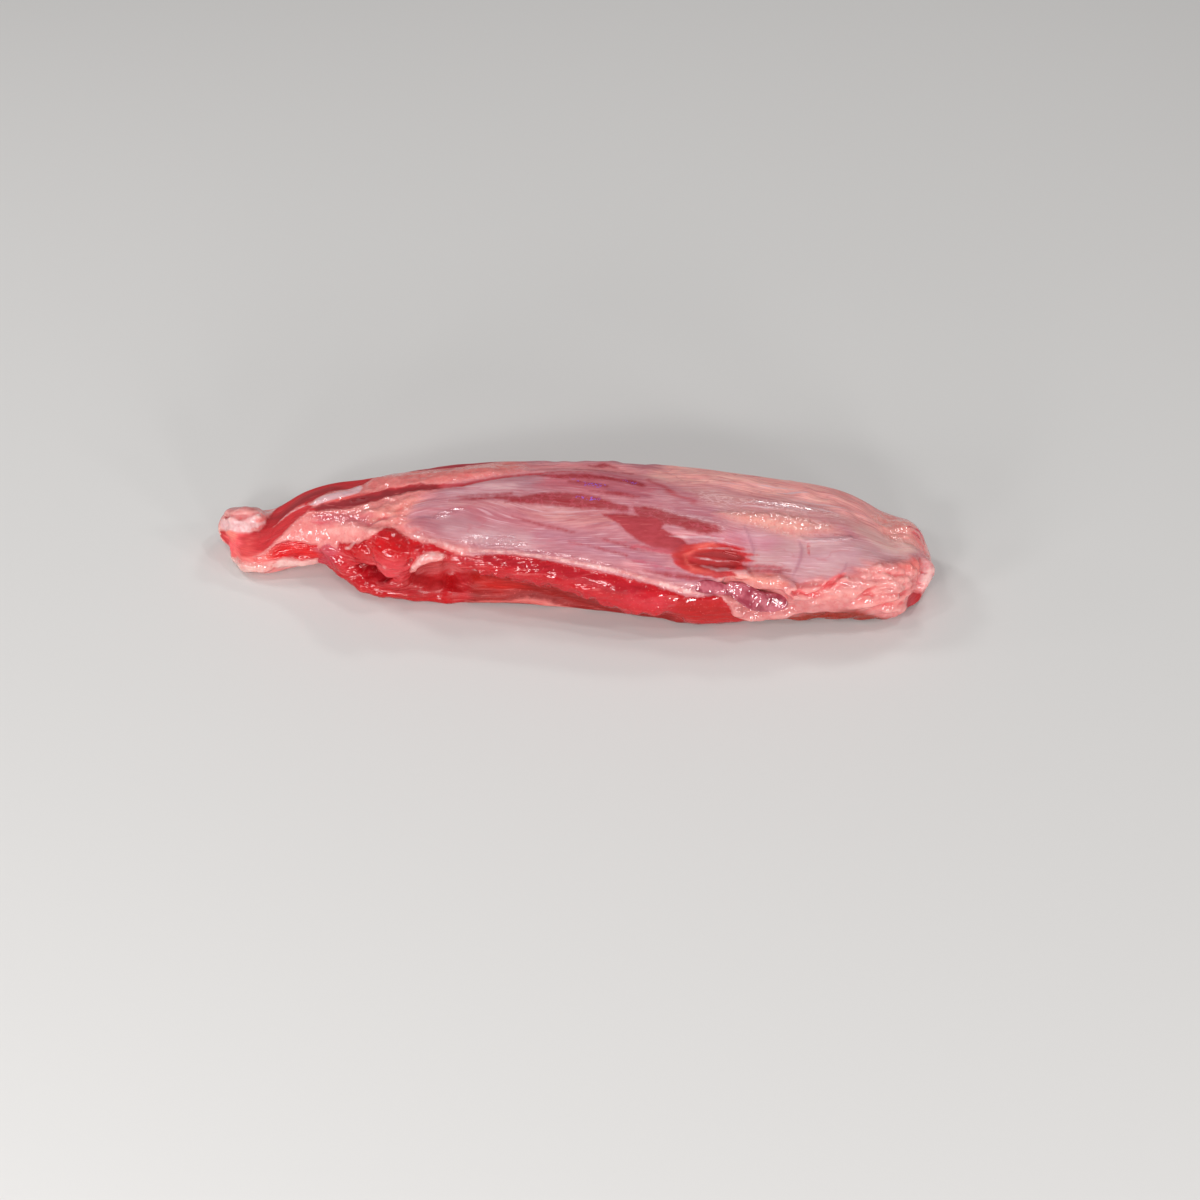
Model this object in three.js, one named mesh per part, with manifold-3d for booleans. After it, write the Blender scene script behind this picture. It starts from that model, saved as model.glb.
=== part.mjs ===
// Raw beef shin: one whole boneless muscle, lying on its side.
// It is thin and curled at the tendon end (-X), thickest past the middle, and cut off bluntly at +X.
// -Y is its front, where the trimming knife has bared the red meat under the silverskin.
// It rests on a flattened sole at z = 0. All sizes are in millimetres.
import * as THREE from "three";
import { mergeVertices } from "three/addons/utils/BufferGeometryUtils.js";
import Module from "manifold-3d";

// Sections along the muscle. At each x: the front and back edges of its width,
// the height of its top, of its widest line, and of its underside before it is flattened.
const sections = [
  { x: -174, front: -1, back: 14, top: 18, waist: 10, under: 2 },
  { x: -166, front: -13, back: 17, top: 20, waist: 9, under: -1 },
  { x: -154, front: -18, back: 18, top: 21, waist: 9, under: -1 },
  { x: -138, front: -15, back: 25, top: 30, waist: 11, under: 0 },
  { x: -123, front: -16, back: 28, top: 36, waist: 13, under: 0 },
  { x: -108, front: -24, back: 31, top: 39, waist: 14, under: -1 },
  { x: -92, front: -29, back: 34, top: 44, waist: 15, under: -2 },
  { x: -50, front: -32, back: 41, top: 50, waist: 17, under: -2 },
  { x: -10, front: -34, back: 42, top: 54, waist: 18, under: -2 },
  { x: 35, front: -39, back: 43, top: 55, waist: 18, under: -2 },
  { x: 75, front: -36, back: 42, top: 53, waist: 18, under: -2 },
  { x: 104, front: -33, back: 41, top: 50, waist: 17, under: -2 },
  { x: 130, front: -30, back: 38, top: 45, waist: 16, under: -2 },
  { x: 147, front: -27, back: 33, top: 39, waist: 16, under: -2 },
  { x: 157, front: -24, back: 31, top: 35, waist: 16, under: -2 },
  { x: 165, front: -18, back: 28, top: 33, waist: 15, under: -1 },
];
const roundness = { above: 2.1, below: 4.6 }; // 2 is an ellipse, more is boxier

const tendonEnd = { share: 0.07, depth: 6 }; // the rings that close each end, and how far they bulge
const cutEnd = { share: 0.1, depth: 10, leanFrom: 110, lean: 7 }; // its top is cut back by the lean
const mesh = { around: 44, along: 100 };

// Swellings (rise above 0) and hollows (below 0) of the skin: the middle's x, its angle round the
// section in degrees (0 is the front, 90 the top), its half length and half width, and its slant in degrees.
const forms = {
  dipBehindCurl: { x: -150, round: 95, long: 9, wide: 9, slant: 0, rise: -2 },
  hollowUnderNeck: { x: -127, round: -28, long: 9, wide: 7, slant: 0, rise: -4 },
  redShoulder: { x: -94, round: 30, long: 17, wide: 10, slant: -10, rise: 3.5 },
  hangingTongue: { x: -86, round: 8, long: 7, wide: 9, slant: 0, rise: 6 },
  pocketByTongue: { x: -101, round: 0, long: 6, wide: 5, slant: 20, rise: -6 },
  pocketUnderFlap: { x: -65, round: 0, long: 15, wide: 7, slant: -8, rise: -8 },
  flapOverPocket: { x: -68, round: 22, long: 12, wide: 5, slant: -8, rise: 3 },
  lowerLip: { x: -80, round: -32, long: 22, wide: 6, slant: 0, rise: 5 },
  baredLedge: { x: -20, round: 14, long: 40, wide: 6, slant: -6, rise: 2.5 },
  undercutBelowLedge: { x: -20, round: -14, long: 42, wide: 7, slant: -8, rise: -4 },
  heavyEndOfLedge: { x: 42, round: 0, long: 22, wide: 8, slant: -12, rise: 2.5 },
  knifeGash: { x: 69, round: 34, long: 15, wide: 7, slant: 0, rise: -3 },
  vein: { x: 84, round: 7, long: 15, wide: 5, slant: -8, rise: 3 },
  foldByVein: { x: 108, round: 12, long: 10, wide: 7, slant: 10, rise: 2 },
  undercutOfFat: { x: 118, round: -22, long: 26, wide: 6, slant: 0, rise: -2 },
  fatPadAtCutEnd: { x: 148, round: 16, long: 14, wide: 12, slant: 0, rise: 2 },
  notchBehindCutEnd: { x: 152, round: 125, long: 7, wide: 12, slant: 0, rise: -3 },
  seamOfBackMuscles: { x: 20, round: 165, long: 70, wide: 6, slant: 0, rise: -4 },
  lowerBackMuscle: { x: 40, round: 192, long: 60, wide: 9, slant: 0, rise: 3 },
};
const reachOfForms = 3; // in half sizes, past which a form no longer counts

// The roll of tendon and fat that curls over the thin end.
const curl = { at: [-166, 5, 18.5], radius: 5.6, length: 10, turned: 0.1, capRings: 5, around: 14 };

// Value of one measure of the sections at x, on a smooth curve through them.
function measure(name, x) {
  const last = sections.length - 1;
  let i = 0;
  while (i < last - 1 && sections[i + 1].x < x) i += 1;
  const here = sections[i];
  const next = sections[i + 1];
  const before = sections[Math.max(i - 1, 0)];
  const after = sections[Math.min(i + 2, last)];
  const span = next.x - here.x;
  const slope = (a, b) => ((b[name] - a[name]) / (b.x - a.x)) * span;
  const t = THREE.MathUtils.clamp((x - here.x) / span, 0, 1);
  return (
    (2 * t ** 3 - 3 * t ** 2 + 1) * here[name] +
    (t ** 3 - 2 * t ** 2 + t) * slope(before, next) +
    (3 * t ** 2 - 2 * t ** 3) * next[name] +
    (t ** 3 - t ** 2) * slope(here, after)
  );
}

const power = (value, exponent) => Math.sign(value) * Math.abs(value) ** exponent;
const firstX = sections[0].x;
const lastX = sections[sections.length - 1].x;

// A ring's place along the muscle and its share of the full section. u runs from 0 to 1.
function ring(u) {
  if (u < tendonEnd.share) {
    const turn = ((u / tendonEnd.share) * Math.PI) / 2;
    return { x: firstX - tendonEnd.depth * Math.cos(turn), full: Math.sin(turn) };
  }
  if (u > 1 - cutEnd.share) {
    const turn = (((1 - u) / cutEnd.share) * Math.PI) / 2;
    return { x: lastX + cutEnd.depth * Math.cos(turn), full: Math.sin(turn) };
  }
  const along = (u - tendonEnd.share) / (1 - tendonEnd.share - cutEnd.share);
  return { x: THREE.MathUtils.lerp(firstX, lastX, along), full: 1 };
}

// A point of the plain body. turn is 0 at the front, a quarter turn at the top and half a turn at the back.
function body(u, turn) {
  const { x, full } = ring(u);
  const front = measure("front", x);
  const back = measure("back", x);
  const waist = measure("waist", x);
  const rising = Math.sin(turn) > 0;
  const exponent = 2 / (rising ? roundness.above : roundness.below);
  const reach = rising ? measure("top", x) - waist : waist - measure("under", x);
  const z = waist + reach * full * power(Math.sin(turn), exponent);
  const leaning = THREE.MathUtils.smoothstep(x, cutEnd.leanFrom, lastX);
  return new THREE.Vector3(
    x - cutEnd.lean * leaning * (Math.max(z, 0) / measure("top", x)) ** 2,
    (front + back) / 2 - ((back - front) / 2) * full * power(Math.cos(turn), exponent),
    z,
  );
}

// How far the forms push a point of the body outwards.
function swelling(point) {
  const middle = (measure("front", point.x) + measure("back", point.x)) / 2;
  const up = point.z - measure("waist", point.x);
  const out = middle - point.y;
  const radius = Math.hypot(out, up);
  const round = Math.atan2(up, out);
  let rise = 0;
  for (const form of Object.values(forms)) {
    const along = point.x - form.x;
    const behind = round - THREE.MathUtils.degToRad(form.round);
    const across = Math.atan2(Math.sin(behind), Math.cos(behind)) * radius;
    const slant = THREE.MathUtils.degToRad(form.slant);
    const long = (along * Math.cos(slant) + across * Math.sin(slant)) / form.long;
    const wide = (across * Math.cos(slant) - along * Math.sin(slant)) / form.wide;
    const away = long ** 2 + wide ** 2;
    if (away < reachOfForms ** 2) rise += form.rise * Math.exp(-away);
  }
  return rise;
}

// A sphere whose rings are laid along the muscle, swollen by the forms and flattened on the sole.
function bodyGeometry() {
  const sphere = new THREE.SphereGeometry(1, mesh.around, mesh.along);
  sphere.rotateZ(Math.PI / 2);
  const geometry = onlyPositions(sphere);
  const place = geometry.getAttribute("position");
  const at = new THREE.Vector3();
  for (let i = 0; i < place.count; i += 1) {
    at.fromBufferAttribute(place, i);
    const u = Math.acos(THREE.MathUtils.clamp(-at.x, -1, 1)) / Math.PI;
    at.copy(body(u, Math.atan2(at.z, -at.y)));
    place.setXYZ(i, at.x, at.y, at.z);
  }
  geometry.computeVertexNormals();
  const normal = geometry.getAttribute("normal");
  const outward = new THREE.Vector3();
  for (let i = 0; i < place.count; i += 1) {
    at.fromBufferAttribute(place, i);
    outward.fromBufferAttribute(normal, i);
    at.addScaledVector(outward, swelling(at));
    place.setXYZ(i, at.x, at.y, Math.max(at.z, 0));
  }
  return geometry;
}

// A capsule laid along the muscle and turned a little.
function curlGeometry() {
  const geometry = new THREE.CapsuleGeometry(curl.radius, curl.length, curl.capRings, curl.around);
  geometry.rotateZ(Math.PI / 2 + curl.turned);
  geometry.translate(...curl.at);
  return onlyPositions(geometry);
}

function onlyPositions(geometry) {
  geometry.deleteAttribute("normal");
  geometry.deleteAttribute("uv");
  return mergeVertices(geometry);
}

const wasm = await Module();
wasm.setup();

function solid(geometry) {
  return new wasm.Manifold(
    new wasm.Mesh({
      numProp: 3,
      vertProperties: new Float32Array(geometry.getAttribute("position").array),
      triVerts: new Uint32Array(geometry.index.array),
    }),
  );
}

function geometryOf(manifold) {
  const { vertProperties, triVerts } = manifold.getMesh();
  const geometry = new THREE.BufferGeometry();
  geometry.setAttribute("position", new THREE.BufferAttribute(vertProperties, 3));
  geometry.setIndex(new THREE.BufferAttribute(triVerts, 1));
  geometry.computeVertexNormals();
  return geometry;
}

const meat = new THREE.MeshStandardMaterial({ color: 0xc46a70, roughness: 0.35, metalness: 0 });
const shin = new THREE.Mesh(geometryOf(solid(bodyGeometry()).add(solid(curlGeometry()))), meat);
shin.name = "shin";

// The origin is under the middle of the whole shape's box.
const box = new THREE.Box3().setFromObject(shin);
const middle = box.getCenter(new THREE.Vector3());
shin.position.set(-middle.x, -middle.y, -box.min.z);

const beefShin = new THREE.Group();
beefShin.add(shin);

export default beefShin;
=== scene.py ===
# Raw beef shin: a whole boneless muscle lying on its side, sculpted and painted over its frame.
# Places on its skin: "along" is in millimetres from the curled thin end, and "turn" is in
# degrees round the section, where 0 is the front, 90 the top, 180 the back and -90 the sole.
# A shape is an outline of points (along, turn) or a path of points (along, turn, half width).
import math

import bmesh
import bpy
import numpy as np
from mathutils import Euler, Matrix, Vector, noise
from mathutils.bvhtree import BVHTree


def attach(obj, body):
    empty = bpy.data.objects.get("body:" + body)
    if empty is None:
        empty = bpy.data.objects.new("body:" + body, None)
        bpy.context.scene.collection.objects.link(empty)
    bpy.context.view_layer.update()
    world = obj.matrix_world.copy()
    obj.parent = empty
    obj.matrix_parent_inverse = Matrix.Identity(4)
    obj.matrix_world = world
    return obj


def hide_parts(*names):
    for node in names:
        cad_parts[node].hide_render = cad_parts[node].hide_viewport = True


mm = 0.001
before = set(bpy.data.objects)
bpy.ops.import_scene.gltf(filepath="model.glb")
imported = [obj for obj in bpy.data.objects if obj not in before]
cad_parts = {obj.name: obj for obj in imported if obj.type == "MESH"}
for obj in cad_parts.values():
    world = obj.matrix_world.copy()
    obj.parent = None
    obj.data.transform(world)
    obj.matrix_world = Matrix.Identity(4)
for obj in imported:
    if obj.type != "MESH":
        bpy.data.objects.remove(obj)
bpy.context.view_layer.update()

scene = bpy.context.scene
scene.view_settings.view_transform = "Standard"
scene.view_settings.look = "None"


def pointsOf(mesh):
    flat = np.empty(len(mesh.vertices) * 3)
    mesh.vertices.foreach_get("co", flat)
    return flat.reshape(-1, 3)


def normalsOf(mesh):
    flat = np.empty(len(mesh.vertices) * 3)
    mesh.vertex_normals.foreach_get("vector", flat)
    return flat.reshape(-1, 3)


def newPiece(name, bm):
    mesh = bpy.data.meshes.new(name)
    bm.to_mesh(mesh)
    bm.free()
    piece = bpy.data.objects.new(name, mesh)
    scene.collection.objects.link(piece)
    return piece


def mergedCopy(node, name):
    bm = bmesh.new()
    bm.from_mesh(node.data)
    bmesh.ops.remove_doubles(bm, verts=bm.verts, dist=0.01 * mm)
    return newPiece(name, bm)


# How the muscle is measured, in mm: its middle line is found in slabs, a step apart
section = {
    "margin": 3, "step": 4, "slab": 4,
    "waistShare": 1 / 3,  # height of the middle line, as a share of the meat's height
    "thinEnd": 12, "cutEnd": 20,  # how far each end's rim lies from its tip
    "faceReach": 46,  # from the rim to the middle of the end's face
    "leastRadius": 6,
}


class Muscle:
    # Turns places on the meat's skin into points, and points into places.
    def __init__(self, mesh):
        points = pointsOf(mesh) / mm
        self.lowX = points[:, 0].min()
        self.long = np.ptp(points[:, 0])
        self.cutStart = self.long - section["cutEnd"]
        self.at = np.arange(section["margin"], self.long - section["margin"], section["step"])
        self.middle = []
        self.waist = []
        for along in self.at:
            slab = self.slab(points, along)
            self.middle.append((slab[:, 1].min() + slab[:, 1].max()) / 2)
            self.waist.append(slab[:, 2].max() * section["waistShare"])
        self.tree = BVHTree.FromPolygons(
            [v.co for v in mesh.vertices], [p.vertices for p in mesh.polygons]
        )
        self.thinRim = self.rim(points, section["thinEnd"])
        self.cutRim = self.rim(points, self.cutStart)

    def slab(self, points, along):
        return points[abs(points[:, 0] - self.lowX - along) < section["slab"]]

    def rim(self, points, along):
        turn, radius = self.plainPlaces(self.slab(points, along) * mm)[1:]
        order = np.argsort(turn)
        return turn[order], radius[order]

    def centre(self, along):
        return np.interp(along, self.at, self.middle), np.interp(along, self.at, self.waist)

    def plainPlaces(self, points):
        spots = points / mm
        along = spots[:, 0] - self.lowX
        middle, waist = self.centre(along)
        forward, up = middle - spots[:, 1], spots[:, 2] - waist
        turn = np.degrees(np.arctan2(up, forward))
        turn = np.where(turn < -90, turn + 360, turn)
        return along, turn, np.hypot(up, forward)

    def places(self, points):
        # past the rim of an end, along goes on down the end's face
        along, turn, radius = self.plainPlaces(points)
        short = np.interp(turn, *self.cutRim) - radius
        along = np.where(along > self.cutStart, along + np.maximum(short, 0), along)
        short = np.interp(turn, *self.thinRim) - radius
        along = np.where(along < section["thinEnd"], along - np.maximum(short, 0), along)
        return along, turn, np.maximum(radius, section["leastRadius"])

    def spot(self, along, turn, lift):
        # past the rim of an end, the ray tips over towards the end's face
        inner = min(max(along, section["thinEnd"]), self.cutStart)
        tip = math.radians(90) * max(-1, min(1, (along - inner) / section["faceReach"]))
        middle, waist = self.centre(inner)
        start = Vector((self.lowX + inner, middle, waist)) * mm
        out = Vector((0, -math.cos(math.radians(turn)), math.sin(math.radians(turn))))
        out = out * math.cos(tip) + Vector((math.sin(tip), 0, 0))
        hit = self.tree.ray_cast(start, out)[0]
        return hit + out * lift * mm


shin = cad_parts["shin"]
muscle = Muscle(shin.data)
print("muscle measured", round(muscle.long, 1), "mm long")


def applyModifiers(piece):
    graph = bpy.context.evaluated_depsgraph_get()
    graph.update()
    mesh = bpy.data.meshes.new_from_object(piece.evaluated_get(graph))
    old = piece.data
    piece.modifiers.clear()
    piece.data = mesh
    bpy.data.meshes.remove(old)
    mesh.name = piece.name


def remesh(piece, voxel):
    modifier = piece.modifiers.new("remesh", "REMESH")
    modifier.mode = "VOXEL"
    modifier.voxel_size = voxel * mm
    applyModifiers(piece)


def smooth(piece, times):
    modifier = piece.modifiers.new("smooth", "SMOOTH")
    modifier.factor = 0.5
    modifier.iterations = times
    applyModifiers(piece)


def eased(share):
    share = np.clip(share, 0, 1)
    return share * share * (3 - 2 * share)


def toSegment(px, py, dx, dy):
    # distances from spots to a straight stretch that starts at 0, 0 and runs by dx, dy,
    # and the share of it at which each spot's nearest point lies
    share = np.clip((px * dx + py * dy) / np.maximum(dx * dx + dy * dy, 1e-9), 0, 1)
    return np.hypot(px - share * dx, py - share * dy), share


tissueReach = 6  # how far from their edges tissues are told apart, in mm
strokeReach = 2.5  # where a stroke has faded out, in times its soft edge
farOff = 99.0
seedSteps = (7.3, 3.1, 5.7)  # how far apart the unevenness of two seeds is taken


class Skin:
    # The vertices of a piece with their places, for strokes that push or paint them.
    def __init__(self, piece):
        self.mesh = piece.data
        self.points = pointsOf(self.mesh)
        self.normals = normalsOf(self.mesh)
        self.along, self.turn, self.radius = muscle.places(self.points)

    def near(self, ends, slack):
        degree = np.radians(1) * self.radius
        inside = (self.along > ends[:, 0].min() - slack) & (self.along < ends[:, 0].max() + slack)
        inside &= (self.turn - ends[:, 1].max()) * degree < slack
        inside &= (ends[:, 1].min() - self.turn) * degree < slack
        pick = np.nonzero(inside)[0]
        return pick, self.along[pick], self.turn[pick], degree[pick]

    def gap(self, path, slack):
        # mm over the skin from each vertex to the edge of a path, below 0 within it
        ends = np.array(path if len(path) > 1 else [path[0], path[0]], float)
        pick, along, turn, degree = self.near(ends, slack + ends[:, 2].max())
        gap = np.full(len(pick), farOff)
        for (x0, t0, w0), (x1, t1, w1) in zip(ends[:-1], ends[1:]):
            far, share = toSegment(along - x0, (turn - t0) * degree, x1 - x0, (t1 - t0) * degree)
            gap = np.minimum(gap, far - w0 - share * (w1 - w0))
        return pick, gap

    def depth(self, outline, slack):
        # mm over the skin from each vertex to the edge of an outline, above 0 inside it
        ends = np.array([*outline, outline[0]], float)
        pick, along, turn, degree = self.near(ends, slack)
        far = np.full(len(pick), farOff)
        inside = np.zeros(len(pick), bool)
        for (x0, t0), (x1, t1) in zip(ends[:-1], ends[1:]):
            dx = x1 - x0
            gap = toSegment(along - x0, (turn - t0) * degree, dx, (t1 - t0) * degree)[0]
            far = np.minimum(far, gap)
            if t0 != t1:
                inside ^= ((t0 > turn) != (t1 > turn)) & (along < dx * (turn - t0) / (t1 - t0) + x0)
        return pick, np.where(inside, far, -far)

    def within(self, shape, slack):
        # mm inside a shape, below 0 outside it
        if len(shape[0]) == 2:
            return self.depth(shape, slack)
        pick, gap = self.gap(shape, slack)
        return pick, -gap

    def move(self, rise):
        self.points += self.normals * (rise * mm)[:, None]
        self.points[:, 2] = np.maximum(self.points[:, 2], 0)
        self.mesh.vertices.foreach_set("co", self.points.ravel())
        self.mesh.update()

    def pushAreas(self, areas):
        # sinks or raises each outline, reaching its full rise a soft edge's width inside
        total = np.zeros(len(self.points))
        for rise, soft, outline in areas.values():
            pick, depth = self.depth(outline, 0)
            total[pick] += rise * eased(depth / soft)
        self.move(total)

    def pushStrokes(self, strokes):
        total = np.zeros(len(self.points))
        for rise, soft, path in strokes.values():
            pick, gap = self.gap(path, soft * strokeReach)
            total[pick] += rise * np.exp(-(np.maximum(gap, 0) / soft) ** 2)
        self.move(total)

    def wave(self, size, lengthwise, seed):
        # an unevenness of the given size in mm, drawn out lengthwise
        theta = np.radians(self.turn)
        shift = Vector([seed * step for step in seedSteps])
        spots = np.stack([
            self.along / (size * lengthwise),
            self.radius * np.cos(theta) / size,
            self.radius * np.sin(theta) / size,
        ], 1)
        return np.array([noise.noise(Vector(spot) + shift) for spot in spots])

    def field(self, shapes, cuts=()):
        # mm inside a tissue's shapes and outside its cuts, held to the reach
        inside = np.full(len(self.points), -float(tissueReach))
        for shape in shapes:
            pick, depth = self.within(shape, tissueReach)
            inside[pick] = np.maximum(inside[pick], depth)
        for shape in cuts:
            pick, depth = self.within(shape, tissueReach)
            inside[pick] = np.minimum(inside[pick], -depth)
        return np.clip(inside, -tissueReach, tissueReach)

    def share(self, shapes, soft, start=0.0, cuts=()):
        # 0 to 1 over a tissue's soft edge, where its very edge already has the share start
        return eased(self.field(shapes, cuts) / soft + start)


# Hollows and swellings of the whole form: rise and soft edge in mm, and an outline
formAreas = {
    "hollowUnderFlap": (-5.5, 6, [
        (100, 2), (103, 12), (106, 19), (111, 23), (118, 23), (125, 18), (133, 13), (142, 7),
        (144, 0), (138, -8), (127, -12), (116, -14), (108, -14), (100, -8),
    ]),
    "recessUnderLedge": (-3.2, 3, [
        (114, 4), (126, 13), (136, 13), (146, 10), (156, 7), (166, 5.5), (176, 5), (186, 0),
        (196, -5), (205, -10), (214, -9), (224, -5), (234, -8), (236, -16), (226, -28), (205, -30),
        (180, -26), (160, -19), (140, -17), (116, -14),
    ]),
    "cavityByTongue": (-6, 5, [
        (73, 7), (77, 11), (82, 14), (87, 11), (93, 7), (98, 5), (96, -4), (86, -8), (79, -8),
        (74, -4),
    ]),
    "shoulder": (2.2, 6, [
        (64, 30), (72, 36), (80, 43), (90, 51), (98, 44), (107, 37), (106, 24), (88, 18), (74, 18),
        (64, 20),
    ]),
    "redBand": (2.2, 5, [
        (120, 31), (130, 28), (150, 29), (180, 24), (210, 19), (226, 14), (234, 4), (222, -6),
        (205, -8), (186, 0), (160, 8), (140, 13), (127, 19),
    ]),
    "redEnd": (1.4, 6, [
        (226, 14), (240, 8), (250, 9), (256, 4), (262, -10), (266, -22), (240, -26), (228, -12),
    ]),
    "gash": (-1.5, 4, [
        (231, 43), (228, 37), (230, 30), (238, 26), (248, 24), (258, 27), (263, 33), (262, 41),
        (252, 46), (240, 46),
    ]),
    "clotBed": (-3.4, 3.5, [
        (238, 19), (246, 22), (254, 21), (262, 22), (270, 18), (280, 15), (285, 9), (282, 0),
        (272, -4), (263, -2), (257, 5), (250, 8), (241, 9),
    ]),
    "frontFat": (1.3, 3, [
        (286, -16), (286, 21), (300, 24), (310, 31), (322, 42), (334, 50), (347, 50), (352, 10),
        (348, -14), (320, -6), (300, -8),
    ]),
    "cornerTuck": (-4, 8, [
        (344, 16), (352, 20), (362, 22), (380, 16), (390, -10), (380, -40), (344, -36),
    ]),
    "peachFat": (0.5, 3, [
        (258, 64), (258, 72), (264, 77), (290, 76), (304, 71), (303, 63), (290, 57), (276, 56),
    ]),
    "saddle": (-0.8, 8, [(80, 96), (76, 78), (84, 62), (100, 60), (112, 70), (112, 86), (100, 97)]),
}

# Rolls of meat and fat laid on: points (along, turn, lift over the skin, radius)
rolls = {
    "ledge": [
        (121, 29, -3.4, 4), (129, 25, -3.2, 4.6), (137, 21.5, -3.2, 4.9), (144, 18.5, -3.1, 5.1),
        (155, 16, -3.1, 5.2), (164, 14, -3.1, 5.3), (172, 13.5, -3.1, 5.3), (179, 11, -3.2, 5.4),
        (187, 7, -3.2, 5.5), (195, 3, -3.2, 5.6), (204, -1.5, -3.2, 5.7), (212, -2.5, -3.1, 5.6),
        (220, 0, -3.3, 5.2), (228, 2, -3.6, 4.6),
    ],
    "tongue": [(87, 39, -6.4, 9), (91, 33, -5.6, 10.2), (94.5, 27.5, -4.6, 10)],
    "tongueSide": [(77, 30, -3.4, 5), (77, 25, -2.6, 4.4), (75, 21, -2.4, 3)],
    "flap": [
        (103, 10, -0.6, 1.5), (104, 16, 0.2, 1.9), (106.5, 22, 0.6, 2.2), (111, 25.5, 0.6, 2.4),
        (117, 25, -0.2, 2),
    ],
    "flapRoot": [(106, 29, -1.4, 2.8), (112, 31, -1.4, 2.8), (119, 29, -1.8, 2.6)],
    "lowerLobe": [
        (61, -4, -3, 3.4), (67, -11, -2.4, 3.8), (74, -16, -2, 4), (83, -19, -2, 4),
        (92, -22, -2.2, 4), (100, -26, -2.4, 3.6), (107, -27, -3, 3),
    ],
    "neckLobe": [(58, 22, -2.6, 4), (62, 14, -2.4, 4.6), (67, 4, -2.6, 5), (71, -5, -3, 4)],
    "knot": [(55, 20, -1.6, 2.6), (60, 26, -1.6, 2.8), (64, 23, -1.8, 2.4)],
    "fatRollFront": [
        (4, -28, -2, 3.4), (12, -20, -1.2, 3.8), (19, -9, -1.2, 4), (26, -2, -1.4, 3.4),
        (31, 0, -1.8, 2.6),
    ],
    "fatRollNext": [
        (32, 1, -1.6, 2.6), (38, -2, -1.2, 3.2), (44, -6, -1.2, 3.4), (50, -6, -1.4, 3.2),
        (55, -4, -2, 2.4),
    ],
    "curlRoll": [
        (7, 86, -1.6, 3), (11, 92, -0.8, 3.6), (15, 97, -0.5, 4), (19, 99, -0.8, 3.8),
        (22, 99, -1.6, 3),
    ],
    "whiteRoll": [
        (-3, 62, -1.4, 2.6), (3, 62, -1, 3), (9, 65, -0.8, 3.2), (15, 72, -0.8, 3),
        (20, 84, -1, 2.8), (23.5, 100, -1.4, 2.4), (25, 118, -1.6, 2.2), (28, 138, -2, 2),
    ],
    "foldOverClot": [
        (250, 21, -1, 2.2), (255, 25, -0.3, 2.8), (261, 26, 0.2, 3.2), (267, 21, 0.4, 3),
        (273, 20.5, 0.8, 3.4), (279, 20.5, 1, 3.6), (284, 18, 1.2, 3.4), (286.5, 12, 1, 3),
        (285.5, 7, 0.6, 2.2),
    ],
    "ridgeUnderClot": [
        (254, 3, -1.2, 2.4), (258, -3, -0.6, 3), (264, -8, -0.3, 3.2), (272, -10, 0, 3.4),
        (280, -8, 0, 3.4), (288, -3, -0.2, 3.3), (296, 4, -0.7, 3), (304, 10, -1.2, 2.4),
    ],
    "cutEndFlap": [
        (352, 14, -0.6, 2.4), (358, 28, 0.4, 2.8), (361, 42, 0.8, 3), (360, 54, 0.4, 3),
        (357, 66, -1, 2.6),
    ],
    "dripOne": [(166, 9, -0.8, 1.8), (167.5, 3, -1.4, 1.2)],
    "dripTwo": [(206, -4, -0.6, 2.2), (208, -10, -1.4, 1.4)],
    "dripThree": [(213, -5, -0.6, 2.4), (214, -11, -1.3, 1.6)],
    "endFatRoll": [
        (320, 34, -1.6, 3), (328, 42, -1.2, 3.4), (336, 45, -1, 3.6), (345, 43, -1.2, 3.2),
    ],
}
rolling = {
    "step": 1.1,  # from ball to ball, in mm
    "perDegree": 0.5,  # mm that a degree of turn counts for along a roll
    "unevenness": 0.28, "waves": 0.22, "seedStep": 9.1,
    "clearance": 0.2,  # between a ball and the ground
}


def addRolls(piece):
    bm = bmesh.new()
    for seed, path in enumerate(rolls.values()):
        knots = np.array(path, float)
        lengths = np.hypot(np.diff(knots[:, 0]), np.diff(knots[:, 1]) * rolling["perDegree"])
        reach = np.concatenate([[0], np.cumsum(lengths)])
        for s in np.arange(0, reach[-1], rolling["step"]):
            along, turn, lift, radius = [np.interp(s, reach, knots[:, k]) for k in range(4)]
            wave = noise.noise(Vector((s * rolling["waves"], seed * rolling["seedStep"], 0)))
            radius *= 1 + rolling["unevenness"] * wave
            centre = muscle.spot(along, turn, lift)
            centre.z = max(centre.z, (radius + rolling["clearance"]) * mm)
            place = Matrix.Translation(centre)
            bmesh.ops.create_icosphere(bm, subdivisions=2, radius=radius * mm, matrix=place)
    bm.from_mesh(piece.data)
    bm.to_mesh(piece.data)
    bm.free()


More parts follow.
